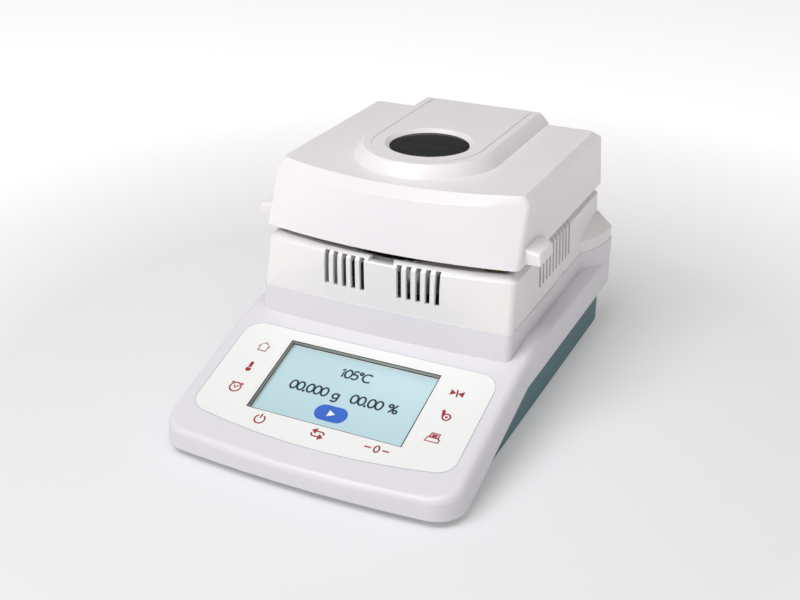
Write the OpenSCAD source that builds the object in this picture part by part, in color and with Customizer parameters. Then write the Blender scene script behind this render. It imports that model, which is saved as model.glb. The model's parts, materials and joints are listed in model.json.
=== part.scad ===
// Moisture analyser: a bench balance that dries its sample under a halogen lamp in a hinged lid.
// X is the width, Y runs from the front edge (negative) to the back, and Z is up.
// The origin is on the bench, under the middle of the case.
// A value that ends in _y is a distance back from the front edge of the case.

/* [Case] */
// Width over the lips of the top cover
case_w = 212; // [206:1:220]
// Depth from the front edge to the back edge
case_depth = 316; // [314:1:326]
// Wall of the moulded cover, housing and tray
case_wall = 2.5; // [2:0.1:3]
// Height of the case above the bench
foot_h = 5.5; // [5.2:0.1:7]
// Forward bow of the front edge
front_bow = 6; // [3:0.5:9]
// Plan radius of the front corners
front_corner_r = 20; // [16:1:24]
// Plan radius of the back corners
back_corner_r = 9; // [8:0.5:12]
// Rounding along the upper rim
rim_r = 6; // [5:0.5:7]
// Height of the level shoulder beside the plinth
shoulder_h = 59.5; // [58:0.5:61]
// Length of the curve that blends console and shoulder
blend_r = 150; // [100:5:180]
// Height of the skirt's lower edge along the back half
skirt_back_h = 37; // [34:0.5:40]
// Drop from the console surface to the skirt's lower edge
skirt_drop = 20.5; // [18:0.5:23]
// Step from the skirt in to the tray's wall
tray_inset = 6; // [5:0.2:8]

/* [Console] */
// Tilt of the console surface
console_tilt = 17.4; // [15:0.2:18.4]
// Height of the console where it meets the plinth
console_back_h = 54.8; // [53:0.2:56.4]
// Distance from the front edge to the plinth
plinth_y = 117; // [114:1:120]
// Width of the keypad membrane
keypad_w = 189; // [182:1:192]
// Margin between the plinth and the keypad membrane
keypad_gap = 10.8; // [8:0.4:14]
// Length of the membrane at its side edges
keypad_l = 84; // [80:1:86]
// Forward bow of the membrane's front edge
keypad_bow = 9.5; // [6:0.5:12]
// Corner radius of the membrane
keypad_r = 13; // [8:1:16]
// Thickness of the keypad membrane
keypad_t = 0.6; // [0.4:0.1:0.8]
// Width of the display opening
screen_w = 112; // [100:1:118]
// Length of the display opening down the slope
screen_l = 64; // [58:1:66]
// Distance from the plinth to the display opening
screen_gap = 20.7; // [18:0.3:23]
// Depth from the membrane's face to the display glass
screen_depth = 4; // [3.8:0.1:5]

/* [Chamber] */
// Width of the chamber housing at its seam
chamber_w = 188; // [184:1:190]
// Height of the seam between the plinth and the chamber housing
seam_h = 74; // [72:0.5:78]
// Height of the chamber housing's upper edge at the front
chamber_top_h = 111; // [110:0.5:112.5]
// Slope of the chamber housing's upper edge, which rises to the back
rim_slope = 0.6; // [0.2:0.1:0.8]
// Depth of the deck inside the housing's rim
deck_drop = 4; // [3:0.5:5]
// Step from the plinth in to the chamber housing at the seam
seam_step = 0.7; // [0.4:0.1:1]
// Height of the bevel round the top of the chamber housing
bevel_h = 4; // [3:0.25:5]
// Forward bow of the housing's front at the bevel
chamber_bow = 11; // [8:0.5:13]
// Distance from the front edge to the middle of the sample well
well_y = 198.5; // [196:0.5:201]
// Inner radius of the steel liner of the sample well
liner_r = 61; // [60:0.5:64]
// Thickness of sheet metal in the liner and shield
sheet_t = 1; // [0.8:0.1:1.2]
// Width of one vent slot
vent_w = 3.5; // [2.4:0.1:3.8]
// Spacing of the vent slots
vent_pitch = 6.85; // [6.4:0.05:7.1]
// Number of vent slots in each front group
front_vents = 5; // [3:1:5]
// Number of vent slots in each side
side_vents = 10; // [6:1:11]
// Height of the vent slots' lower end above the seam
vent_foot = 11; // [8:0.5:16]
// Radius of the rounded bulges at the back of the sides
bulge_r = 64.5; // [64:0.25:65]

/* [Lid] */
// Width of the lid at its lower edge
lid_w = 187; // [184:1:189]
// Gap between the chamber housing and the lid
lid_gap = 5.5; // [5:0.1:6.2]
// Height of the lid from its lower edge to its flat top
lid_h = 44; // [42:0.5:48]
// Height of the chamfer round the top of the lid
lid_chamfer_h = 5.8; // [4:0.2:7]
// Forward bow of the lid's lower edge
lid_low_bow = 10.5; // [8:0.5:14]
// Forward bow of the lid's upper edge
lid_high_bow = 25; // [21:0.5:27]
// Wall of the lid shell
lid_wall = 2.5; // [2:0.1:3]
// Height of the horseshoe platform above the lid's flat top
platform_h = 8.3; // [6:0.1:9]
// Radius of the horseshoe platform at its foot
platform_foot_r = 53; // [52:0.5:56]
// Radius of the horseshoe platform at its top
platform_top_r = 46; // [43:0.5:48]
// Radius of the sight window
window_r = 29; // [24:0.5:31]

/* [Heater] */
// Radius of the halogen lamp's ring
lamp_r = 43; // [41:0.5:44]
// Radius of the lamp's glass tube
lamp_tube_r = 4.5; // [4:0.25:5]
// Radius of the guard glass under the lamp
guard_r = 57; // [56:0.5:58]
// Thickness of the guard glass
guard_t = 3; // [2.5:0.25:3.5]

/* [Weighing] */
// Radius of the sample pan over its rolled rim
pan_r = 48; // [44:0.5:49]
// Height of the sample pan
pan_h = 7; // [5:0.5:9]
// Radius of the pan carrier's spindle
spindle_r = 3; // [2.5:0.25:3.5]
// Height of the pan carrier's top
carrier_h = 92; // [90:0.5:94]
// Length of the load cell
cell_l = 72; // [68:1:74]
// Width of the load cell
cell_w = 18; // [14:1:20]
// Height of the load cell
cell_h = 22; // [18:1:24]

/* [Hinge] */
// Radius of the hinge knuckles
knuckle_r = 4; // [3.6:0.1:4.2]
// Radius of the hinge pins
hinge_pin_r = 1.5; // [1.2:0.1:1.8]
// Length of one hinge
hinge_l = 36; // [30:1:42]
// Distance of each hinge's middle from the centre line
hinge_x = 60; // [50:1:66]

/* [Feet] */
// Distance of the feet from the sides of the case
foot_in = 28; // [24:1:36]
// Distance from the front edge to the levelling feet
front_foot_y = 42; // [38:1:50]
// Distance from the back edge to the fixed back feet
back_foot_in = 30; // [26:1:40]
// Radius of the feet
foot_r = 10; // [8:0.5:11]
// Radius of the levelling screw
foot_screw_r = 3; // [2.5:0.25:3.5]

/* [Hidden] */

// Clearances
joint_gap = 0.3;
pin_clear = 0.04;
slip = 0.2;
eps = 0.01;

// Fineness of round features and of hulled shells
round_fn = 96;
hull_fn = 24;
arc_steps = 14;

// Case
tray_floor_h = foot_h + case_wall;
level_start_y = plinth_y + (shoulder_h - console_back_h) / tan(console_tilt);
blend_end_y = level_start_y + blend_r * tan(console_tilt / 2);
blend_start_y = blend_end_y - blend_r * sin(console_tilt);
skirt_start_y = plinth_y - (console_back_h - skirt_drop - foot_h) / tan(console_tilt);
skirt_level_y = plinth_y + (skirt_back_h + skirt_drop - console_back_h) / tan(console_tilt);
tray_lap = 9;
boss_r = 4.5;
screw_r = 1.5;
screw_head_r = 3;
screw_head_h = 2;
front_boss_y = 24;
back_boss_y = case_depth - 24;
case_boss_x = case_w / 2 - 18;
front_boss_split_h = 12;
back_boss_split_h = 34;

// Plinth and chamber housing
plinth_foot_w = chamber_w + 0.4;
plinth_back_y = case_depth - 4.6;
plinth_lean = 3;
plinth_bow = 2.5;
plinth_corner_r = 5;
plinth_back_r = 3;
plinth_cut_h = console_back_h - 24;
ledge_w = 12;
housing_back_lean = 0.8;
housing_side_lean = 2;
bevel_foot_h = chamber_top_h - bevel_h;
bevel_in = 3.8;
bulge_x = chamber_w / 2 - 53.2;
bulge_y = case_depth - 10;
bulge_flat_h = seam_h + 9;
bulge_cone_h = 10.5;
bulge_cone_r = bulge_r - 12.3;
deck_t = 2.5;
deck_top_h = chamber_top_h - deck_drop;
deck_h = deck_top_h - deck_t;
deck_rim_w = 1.8;
vent_low_h = seam_h + vent_foot;
vent_top_h = chamber_top_h - 2;
side_vent_top_h = chamber_top_h - 0.2;
vent_skin = 1.4;
front_vent_x = 13.8;
side_vent_y = plinth_y + 61.3;
notch_w = 17;
notch_drop = 3;
housing_boss_x = chamber_w / 2 - case_wall - 4.9;
side_slot_x = chamber_w / 2 - housing_side_lean - case_wall - 1.9;
housing_boss_front_y = plinth_y + 23;
housing_boss_back_y = plinth_back_y - 48;
dimple_front_y = plinth_y + 12.6;
dimple_back_y = plinth_y + 111.3;
dimple_r = 1;
dimple_d = 1;

// Sample well
deflector_t = 1.2;
deflector_w = chamber_w - 37;
deflector_front_y = plinth_y + 15;
deflector_back_y = plinth_back_y - 14;
liner_floor_h = 81;
liner_flange_w = 6;
liner_flange_h = deck_top_h + sheet_t;
shield_r = liner_r - 3.5;
shield_h = 22;
spindle_hole_r = spindle_r + 4;
carrier_r = 38;
carrier_t = 1.6;
carrier_arm_w = 7;
pan_t = 0.8;
pan_floor_h = carrier_h + joint_gap;
pan_rim_w = 2;
handler_r = pan_r + 3;
handler_tab_r = pan_r + 4.5;
handler_t = 1.2;
handler_inner_r = pan_r - pan_rim_w + 0.5;
handler_h = pan_floor_h + pan_h - pan_t - handler_t;
weigh_travel = 0.3;

// Load cell
cell_h0 = tray_floor_h + 6;
cell_top_h = cell_h0 + cell_h;
cell_front_y = well_y - 9;
cell_back_y = cell_front_y + cell_l;
mount_l = 24;
cell_screw_spots = [-6, 6];
spindle_foot_h = cell_top_h + weigh_travel + joint_gap;

// Lid
lid_low_h = chamber_top_h + lid_gap;
lid_top_h = lid_low_h + lid_h;
lid_edge_h = lid_top_h - lid_chamfer_h;
lid_front_y = plinth_y + 3;
lid_front_lean = 3;
lid_back_y = case_depth - 4;
lid_back_lean = 7;
lid_side_lean = 0.6;
lid_corner_r = 5;
lid_back_corner_r = 3;
lid_top_in = 4.3;
lid_front_in = 9.8;
lid_back_in = 8.5;
platform_top_h = lid_top_h + platform_h;
platform_back_in = 2;
platform_round_w = 2.6;
platform_round_h = 2.2;
groove_in = 5.5;
groove_w = 1;
groove_d = 0.8;
lug_w = 11;
lug_l = 25;
lug_tail_l = 13;
lug_r = 2.5;
lug_fall = 2.4;
lug_low_h = lid_low_h + 1.5;
lug_high_h = lid_low_h + 12;
lug_front_y = plinth_y + 24;
underside_h = lid_low_h + 1;
underside_t = 2;
underside_top_h = underside_h + underside_t;
lid_boss_r = 4;
lid_bosses = [[lid_w / 2 - 15.5, lid_front_y + 33.5], [lid_w / 2 - 8.5, lid_front_y + 103.5],
    [lid_w / 2 - 9.5, lid_back_y - 28.4]];

// Heater and sight tube
guard_h = underside_top_h + 1.4;
guard_seat_w = 3;
ring_lip = 0.8;
ring_outer_r = guard_r + 6;
lamp_h = guard_h + guard_t + 2 + lamp_tube_r;
sight_r = window_r + 1.5;
sight_low_h = lamp_h + lamp_tube_r + 4;
window_t = 2;
window_h = platform_top_h - lid_wall - window_t;
window_bevel = 3;
window_bevel_d = 2.4;
window_seat_w = 1.2;
window_boss_drop = 4;
holder_h = lamp_h + lamp_tube_r + 9;
lamp_end_r = lamp_tube_r - 0.7;
lamp_gap_angle = 24;
reflector_t = 0.8;
probe_r = 1.6;
probe_l = 3.6;
terminal_pitch = 12;
terminal_l = 16;
terminal_tall = 12;
terminal_r = 3;

// Hinge
hinge_y = lid_back_y - 4;
hinge_h = lid_low_h - 1.75;
knuckle_gap = 0.3;
knuckle_l = hinge_l / 3;
leaf_t = 1.5;
knuckle_room = 0.6;
lid_leaf_l = 26;
chamber_leaf_h = 24;
leaf_y = -knuckle_r + 0.4;

// Feet
foot_x = case_w / 2 - foot_in;
foot_pad_h = 2.2;
foot_wheel_h = foot_h - foot_pad_h - 2 * joint_gap;
foot_wheel_r = foot_r + 1;
foot_screw_top = tray_floor_h + 10;
foot_nose_r = 2;
foot_nose_h = 1.4;
foot_boss_r = 6;
foot_ribs = 24;

// Back sockets
back_wall_y = case_depth - tray_inset - 0.6;
socket_top_h = 52;
socket_margin = 26;
inlet_x = -62;
inlet_h = 30;
inlet_w = 27;
inlet_l = 24;
inlet_tall = 31;
inlet_flange = 3;
inlet_flange_t = 2;
plug_w = 24.2;
plug_h = 16.4;
plug_depth = 17;
plug_lift = 4.6;
drawer_w = 22;
drawer_h = 7.4;
drawer_l = 18;
drawer_drop = 9.6;
drawer_clear = 0.35;
fuse_r = 2.6;
fuse_l = 19;
switch_x = -24;
switch_h = 30;
switch_w = 13;
switch_tall = 19.4;
switch_l = 17;
rocker_w = 10;
rocker_tall = 15;
rocker_r = 10;
rocker_pivot_in = 5;
rocker_tilt = 9;
rocker_pin_r = 1.2;
serial_x = 40;
serial_h = 30;
serial_w = 16.4;
serial_tall = 7.9;
serial_flange_w = 30.8;
serial_flange_tall = 12.5;
serial_shell_l = 6;
serial_body_w = 19.2;
serial_body_tall = 10;
serial_body_l = 11;
serial_stud_x = 12.5;
serial_pitch = 2.77;
pin_w = 4;
pin_t = 2;

// Console parts
gasket_margin = 4;
gasket_lip_w = 1.2;
glass_t = 1.1;
module_t = 4;
board_t = 1.6;
key_board_margin = 28;
key_board_t = 1.2;
under_gap = 0.05;

// Small parts on the chamber's deck
level_x = chamber_w / 2 - 21;
level_y = plinth_y + 30;
level_r = 7;
sensor_x = 34 - chamber_w / 2;
sensor_y = plinth_y + 21;
bumper_x = chamber_w / 2 - 14;
bumper_y = well_y - 26.5;
bumper_r = 3;

// Board posts
main_board_w = 160;
main_board_l = 56;
main_board_y = well_y - 48.5;
supply_w = 52;
supply_l = 68;
supply_x = case_w / 2 - 43;
supply_y = well_y + 34.5;
relay_w = 46;
relay_l = 54;
relay_x = 44 - case_w / 2;
relay_y = well_y + 29.5;
relay_fins = 7;
relay_fin_h = 18;
relay_base_t = 3;
relay_l0 = 14;
relay_tall = 12;
supply_core_l = 26;
supply_core_tall = 22;
supply_can_r = 7;
post_in = 6;
post_top_h = tray_floor_h + 4;

// Y place of a distance from the front edge
function fy(d) = d - case_depth / 2;

// Height of the case's upper surface at a distance from the front edge
function top_z(d) = d > blend_end_y ? shoulder_h
    : d < blend_start_y ? console_back_h - (plinth_y - d) * tan(console_tilt)
    : shoulder_h - blend_r + sqrt(blend_r * blend_r - (blend_end_y - d) * (blend_end_y - d));

function bow_radius(half_w, bow) = (half_w * half_w + bow * bow) / (2 * bow);

// Plan outline with a bowed front edge and rounded corners, anticlockwise from the front right
function outline(half_w, front_y, back_y, bow, front_r, back_r, steps = arc_steps) =
    let (
        big_r = bow_radius(half_w, bow),
        mid_y = front_y + big_r,
        corner_x = half_w - front_r,
        corner_dy = sqrt((big_r - front_r) * (big_r - front_r) - corner_x * corner_x),
        turn = atan2(corner_dy, corner_x),
        end_x = big_r * cos(turn)
    )
    concat(
        [for (i = [0:6]) let (a = -turn * (6 - i) / 6)
            [corner_x + front_r * cos(a), mid_y - corner_dy + front_r * sin(a)]],
        [for (i = [0:6]) let (a = 15 * i)
            [half_w - back_r + back_r * cos(a), back_y - back_r + back_r * sin(a)]],
        [for (i = [0:6]) let (a = 90 + 15 * i)
            [-half_w + back_r + back_r * cos(a), back_y - back_r + back_r * sin(a)]],
        [for (i = [0:6]) let (a = 180 + turn * i / 6)
            [-corner_x + front_r * cos(a), mid_y - corner_dy + front_r * sin(a)]],
        [for (i = [1:steps - 1]) let (x = -end_x + 2 * end_x * i / steps)
            [x, mid_y - sqrt(big_r * big_r - x * x)]]
    );

module plan(points) {
    translate([0, -case_depth / 2]) polygon(points);
}

// Thin slice of a plan outline, the rung of a hulled shell
module slice(z, points) {
    translate([0, 0, z]) linear_extrude(eps) plan(points);
}

// Slice that rises to the back from a height at the plinth's front
module sloped_slice(z, points) {
    at(0, plinth_y, z) rotate([rim_slope, 0, 0]) translate([0, -fy(plinth_y), 0]) slice(0, points);
}

// Upright bar of a given side profile, drawn as [distance from front, height]
module side_profile(half_w, points) {
    translate([-half_w, -case_depth / 2, 0])
        rotate([90, 0, 90]) linear_extrude(2 * half_w) polygon(points);
}

module at(x, d, z = 0) {
    translate([x, fy(d), z]) children();
}

module both_sides() {
    children();
    mirror([1, 0, 0]) children();
}

// Frame of the console: origin at the plinth, Y up the slope, Z out of the surface
module on_console() {
    at(0, plinth_y, console_back_h) rotate([console_tilt, 0, 0]) children();
}

module tube(outer_r, inner_r, h) {
    difference() {
        cylinder(r = outer_r, h = h, $fn = round_fn);
        translate([0, 0, -1]) cylinder(r = inner_r, h = h + 2, $fn = round_fn);
    }
}

module block(w, l, h) {
    translate([-w / 2, -l / 2, 0]) cube([w, l, h]);
}

module rounded_block(w, l, h, r) {
    linear_extrude(h) rounded_square(w, l, r);
}

module rounded_square(w, l, r) {
    square([w - 2 * r, l], center = true);
    square([w, l - 2 * r], center = true);
    for (x = [-1, 1], y = [-1, 1])
        translate([x * (w / 2 - r), y * (l / 2 - r)]) circle(r = r, $fn = 32);
}

module screw(l, head_r = screw_head_r) {
    cylinder(r = screw_r, h = l, $fn = 24);
    translate([0, 0, -screw_head_h]) difference() {
        cylinder(r = head_r, h = screw_head_h, $fn = 32);
        translate([0, 0, -1]) cylinder(r = 1.1, h = 2, $fn = 6);
    }
}

// Case shells

// Centres of the balls that round the upper rim
rim_path = concat(
    [for (p = outline(case_w / 2 - rim_r, rim_r, case_depth - rim_r, front_bow,
        front_corner_r - rim_r, back_corner_r - rim_r)) p],
    [for (d = [blend_start_y, (blend_start_y + blend_end_y) / 2, blend_end_y], s = [-1, 1])
        [s * (case_w / 2 - rim_r), d]],
    [for (i = [1:4], s = [-1, 1])
        [s * (case_w / 2 - rim_r), blend_start_y + (blend_end_y - blend_start_y) * i / 5]]
);

// Solid of the case's outer form, drawn in by a wall
module case_form(wall) {
    hull() {
        for (p = rim_path)
            at(p[0], p[1], top_z(p[1]) - rim_r / cos(console_tilt)) sphere(r = rim_r - wall, $fn = hull_fn);
        slice(foot_h, outline(case_w / 2 - wall, wall, case_depth - wall, front_bow,
            front_corner_r - wall, back_corner_r - wall));
    }
}

// Everything below the rising lower edge of the skirt
module under_skirt() {
    side_profile(case_w, [
        [skirt_start_y, foot_h], [skirt_level_y, skirt_back_h], [case_depth + 5, skirt_back_h],
        [case_depth + 5, -5], [-5, -5], [-5, foot_h]
    ]);
}

module plinth_form(wall, low_h, high_h) {
    hull() {
        slice(low_h, outline(plinth_foot_w / 2 - wall, plinth_y + wall, plinth_back_y - wall, plinth_bow,
            plinth_corner_r - wall / 2, plinth_back_r));
        slice(high_h - eps, outline(chamber_w / 2 - wall, plinth_y + plinth_lean + wall, plinth_back_y - wall,
            plinth_bow, plinth_corner_r - wall / 2, plinth_back_r));
    }
}

// Round of one side bulge, ended at a given distance from the front
module bulge(r, top_r, h, back_y) {
    intersection() {
        at(bulge_x, bulge_y) cylinder(r1 = r, r2 = top_r, h = h, $fn = 144);
        at(bulge_x, back_y - bulge_r) cube([case_w / 2, bulge_r, h]);
    }
}

// Upright post that stops inside the case's top wall
module post_under_top(x, d, low_h, r) {
    intersection() {
        at(x, d, low_h) cylinder(r = r, h = shoulder_h, $fn = 32);
        side_profile(case_w / 2, concat(
            [for (i = [0:12]) let (q = case_depth * i / 12) [q, top_z(q) - case_wall / 2]],
            [[case_depth, 0], [0, 0]]
        ));
    }
}

module top_cover() {
    color("#e9e7ee") difference() {
        union() {
            difference() {
                case_form(0);
                case_form(case_wall);
                at(0, 0, foot_h - 5) block(case_w * 2, case_depth * 3, 5 + eps);
            }
            plinth_form(0, console_back_h - 4, seam_h);
            both_sides() translate([0, 0, shoulder_h - case_wall])
                bulge(bulge_r, bulge_r, seam_h - shoulder_h + case_wall, plinth_back_y);
            both_sides() post_under_top(case_boss_x, front_boss_y, front_boss_split_h, boss_r);
        }
        under_skirt();
        difference() {
            union() {
                plinth_form(case_wall, plinth_cut_h, seam_h - case_wall);
                both_sides() translate([0, 0, plinth_cut_h]) bulge(bulge_r - case_wall, bulge_r - case_wall,
                    seam_h - plinth_cut_h - case_wall, plinth_back_y - case_wall);
            }
            both_sides() at(case_boss_x, back_boss_y, back_boss_split_h)
                cylinder(r = boss_r, h = seam_h, $fn = 32);
        }
        plinth_form(ledge_w, plinth_cut_h - 1, seam_h + 1);
        on_console() {
            translate([0, 0, -keypad_t]) linear_extrude(10) keypad_outline(0);
            translate([0, -screen_gap - screen_l / 2, -20]) block(screen_w + 2 * (gasket_lip_w + slip),
                screen_l + 2 * (gasket_lip_w + slip), 30);
        }
        both_sides() {
            at(case_boss_x, front_boss_y, 0) cylinder(r = screw_r, h = front_boss_split_h + 6, $fn = 24);
            at(case_boss_x, back_boss_y, 0) cylinder(r = screw_r, h = back_boss_split_h + 10, $fn = 24);
        }
        both_sides() for (d = [housing_boss_front_y, housing_boss_back_y])
            at(housing_boss_x, d, seam_h - case_wall - 1) cylinder(r = screw_r + 0.2, h = 5, $fn = 24);
        socket_window();
    }
}

// Cut-out in the back of the cover over the sockets
module socket_window() {
    at(inlet_x - socket_margin, back_wall_y - case_wall - slip, 0)
        cube([serial_x - inlet_x + 2 * socket_margin, 30, socket_top_h]);
}

module keypad_outline(inset) {
    half = keypad_w / 2 - inset;
    shift = plinth_y;
    translate([0, -shift]) polygon(outline(half, shift - keypad_gap - keypad_l - keypad_bow + inset,
        shift - keypad_gap - inset, keypad_bow, keypad_r - inset, keypad_r - inset));
}

// Foot of the tray, whose walls rise inside the skirt
module tray_form(wall) {
    low = wall > 0 ? tray_floor_h : foot_h;
    lap = tray_lap;
    intersection() {
        translate([0, 0, low]) linear_extrude(socket_top_h) plan(outline(
            case_w / 2 - tray_inset - wall, tray_inset + wall, back_wall_y - wall,
            front_bow, front_corner_r - tray_inset / 2 - wall, back_corner_r - wall));
        side_profile(case_w / 2, [
            [0, foot_h], [0, foot_h + lap * 0.7],
            [skirt_start_y, foot_h + lap * 0.7], [skirt_level_y, skirt_back_h + lap - 2],
            [case_depth, skirt_back_h + lap - 2], [case_depth, foot_h]
        ]);
    }
}

module base_tray() {
    color("#4e6e70") difference() {
        union() {
            difference() {
                tray_form(0);
                tray_form(case_wall);
            }
            at(inlet_x - socket_margin + slip, back_wall_y - case_wall, foot_h) cube([
                serial_x - inlet_x + 2 * (socket_margin - slip), case_wall, socket_top_h - slip - foot_h]);
            both_sides() {
                at(case_boss_x, front_boss_y, foot_h + 1)
                    cylinder(r = boss_r, h = front_boss_split_h - foot_h - 1, $fn = 32);
                at(case_boss_x, back_boss_y, foot_h + 1)
                    cylinder(r = boss_r, h = back_boss_split_h - foot_h - 1, $fn = 32);
                at(foot_x, front_foot_y, foot_h + 1)
                    cylinder(r = foot_boss_r, h = foot_screw_top - foot_h - 1, $fn = 32);
            }
            board_posts(foot_h + 1, post_top_h);
        }
        both_sides() {
            for (d = [front_boss_y, back_boss_y]) at(case_boss_x, d, 0) {
                cylinder(r = screw_r + slip, h = case_depth, $fn = 24);
                cylinder(r = screw_head_r + slip, h = foot_h + screw_head_h, $fn = 32);
            }
            at(foot_x, front_foot_y, 0) cylinder(r = foot_screw_r + pin_clear, h = case_depth, $fn = 48);
        }
        back_cut(inlet_x, inlet_h, inlet_w, inlet_tall);
        back_cut(switch_x, switch_h, switch_w, switch_tall);
        back_cut(serial_x, serial_h, serial_body_w, serial_body_tall);
    }
}

// Opening through the tray's back wall for one socket
module back_cut(x, h, w, tall) {
    at(x - w / 2 - slip, back_wall_y - 2 * case_wall, h - tall / 2 - slip)
        cube([w + 2 * slip, 4 * case_wall, tall + 2 * slip]);
}

// Posts under the corners of one board
module corner_posts(x, d, w, l, low_h, high_h) {
    for (sx = [-1, 1], sy = [-1, 1]) at(x + sx * (w / 2 - post_in), d + sy * (l / 2 - post_in), low_h)
        cylinder(r = 3, h = high_h - low_h, $fn = 24);
}

module board_posts(low_h, high_h) {
    corner_posts(0, main_board_y, main_board_w, main_board_l, low_h, high_h);
    corner_posts(supply_x, supply_y, supply_w, supply_l, low_h, high_h);
    corner_posts(relay_x, relay_y, relay_w, relay_l, low_h, high_h);
}

module case_screws() {
    color("#b9bcbf") both_sides() {
        at(case_boss_x, front_boss_y, foot_h + screw_head_h) screw(front_boss_split_h - foot_h + 1);
        at(case_boss_x, back_boss_y, foot_h + screw_head_h) screw(back_boss_split_h - foot_h + 4);
    }
}

module back_feet() {
    color("#3b3d40") both_sides() at(foot_x, case_depth - back_foot_in) {
        cylinder(r1 = foot_r - 1, r2 = foot_r, h = 1, $fn = 48);
        translate([0, 0, 1]) cylinder(r = foot_r, h = foot_h - 1, $fn = 48);
    }
}

module foot_pad() {
    difference() {
        union() {
            cylinder(r1 = foot_r - 0.8, r2 = foot_r, h = 0.8, $fn = 48);
            translate([0, 0, 0.8]) cylinder(r = foot_r, h = foot_pad_h - 0.8, $fn = 48);
        }
        translate([0, 0, foot_pad_h - foot_nose_h - joint_gap])
            cylinder(r = foot_nose_r + pin_clear, h = foot_pad_h, $fn = 48);
    }
}

module foot_wheel() {
    translate([0, 0, foot_pad_h + joint_gap]) difference() {
        cylinder(r = foot_wheel_r, h = foot_wheel_h, $fn = 72);
        for (i = [0:foot_ribs - 1]) rotate([0, 0, i * 360 / foot_ribs])
            translate([foot_wheel_r + 0.3, 0, -1]) cylinder(r = 0.8, h = foot_wheel_h + 2, $fn = 16);
        translate([0, 0, -1]) cylinder(r = foot_screw_r + pin_clear, h = foot_wheel_h + 2, $fn = 48);
    }
}

module foot_stem() {
    nose_low = foot_pad_h - foot_nose_h;
    translate([0, 0, nose_low]) cylinder(r = foot_nose_r, h = foot_nose_h + 1, $fn = 48);
    translate([0, 0, foot_pad_h + joint_gap])
        cylinder(r = foot_screw_r, h = foot_screw_top - foot_pad_h - joint_gap - 1, $fn = 48);
}

module foot_pad_left() { color("#3b3d40") at(-foot_x, front_foot_y) foot_pad(); }
module foot_pad_right() { color("#3b3d40") at(foot_x, front_foot_y) foot_pad(); }
module foot_wheel_left() { color("#8b8e91") at(-foot_x, front_foot_y) foot_wheel(); }
module foot_wheel_right() { color("#8b8e91") at(foot_x, front_foot_y) foot_wheel(); }
module foot_stem_left() { color("#b0b3b5") at(-foot_x, front_foot_y) foot_stem(); }
module foot_stem_right() { color("#b0b3b5") at(foot_x, front_foot_y) foot_stem(); }

// Console

module keypad_membrane() {
    color("#eceeed") on_console() translate([0, 0, -keypad_t]) difference() {
        linear_extrude(keypad_t) keypad_outline(slip);
        translate([-screen_w / 2, -screen_gap - screen_l, -1]) cube([screen_w, screen_l, 4]);
    }
}

// Frame with the display opening in it, in the console's frame
module display_frame(margin, low, high) {
    translate([0, -screen_gap - screen_l / 2, low]) difference() {
        block(screen_w + 2 * margin, screen_l + 2 * margin, high - low);
        translate([0, 0, -1]) block(screen_w, screen_l, high - low + 2);
    }
}

module display_gasket() {
    color("#2e3830") on_console() {
        display_frame(gasket_margin, -screen_depth, -case_wall - under_gap);
        display_frame(gasket_lip_w, -screen_depth, -keypad_t - under_gap);
    }
}

module display_glass() {
    color("#c5e0e6") on_console() translate([0, -screen_gap - screen_l / 2, -screen_depth - glass_t])
        block(screen_w + 2 * gasket_margin, screen_l + 2 * gasket_margin, glass_t);
}

module display_module() {
    color("#a9adb0") on_console()
        translate([0, -screen_gap - screen_l / 2, -screen_depth - glass_t - module_t]) {
            block(screen_w + 2 * gasket_margin, screen_l + 2 * gasket_margin, module_t);
            for (x = [-1, 1], y = [-1, 1])
                translate([x * (screen_w / 2 - 8), y * (screen_l / 2 - 8), -2])
                    cylinder(r = 2.5, h = 2.5, $fn = 24);
        }
}

module display_board() {
    color("#2f6b45") on_console()
        translate([0, -screen_gap - screen_l / 2, -screen_depth - glass_t - module_t - 2 - board_t]) {
            block(screen_w, screen_l, board_t);
            translate([-20, 0, -2]) block(18, 18, 2 + eps);
            translate([22, 8, -1.6]) block(12, 9, 1.6 + eps);
            translate([0, -screen_l / 2 + 6, -2.4]) block(40, 5, 2.4 + eps);
        }
}

module key_board() {
    room = 2 * gasket_margin + 2;
    color("#2f6b45") on_console()
        translate([0, -screen_gap - screen_l / 2, -case_wall - under_gap - key_board_t]) difference() {
            translate([0, -7, 0]) block(screen_w + 2 * key_board_margin, screen_l + 4, key_board_t);
            translate([0, 0, -1]) block(screen_w + room, screen_l + room, 4);
        }
}

// Chamber

// Outer form of the chamber housing
module housing_form() {
    hull() {
        slice(seam_h, outline(chamber_w / 2 - seam_step, plinth_y + plinth_lean + seam_step,
            plinth_back_y - seam_step, plinth_bow, plinth_corner_r, plinth_back_r));
        sloped_slice(bevel_foot_h, outline(chamber_w / 2 - housing_side_lean, plinth_y + plinth_lean,
            plinth_back_y - housing_back_lean, chamber_bow, plinth_corner_r, plinth_back_r));
        sloped_slice(chamber_top_h - eps, outline(chamber_w / 2 - housing_side_lean - bevel_in,
            plinth_y + plinth_lean + bevel_in, plinth_back_y - housing_back_lean - bevel_in,
            chamber_bow, plinth_corner_r, plinth_back_r));
    }
}

// Room inside the chamber housing, under its deck
module housing_room() {
    inner_r = plinth_back_r - case_wall / 2;
    hull() {
        slice(seam_h - 1, outline(chamber_w / 2 - seam_step - case_wall,
            plinth_y + plinth_lean + seam_step + case_wall, plinth_back_y - seam_step - case_wall,
            plinth_bow, plinth_corner_r - case_wall / 2, inner_r));
        slice(deck_h - eps, outline(chamber_w / 2 - housing_side_lean - case_wall,
            plinth_y + plinth_lean + case_wall, plinth_back_y - housing_back_lean - case_wall,
            chamber_bow, plinth_corner_r - case_wall / 2, inner_r));
    }
}

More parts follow.
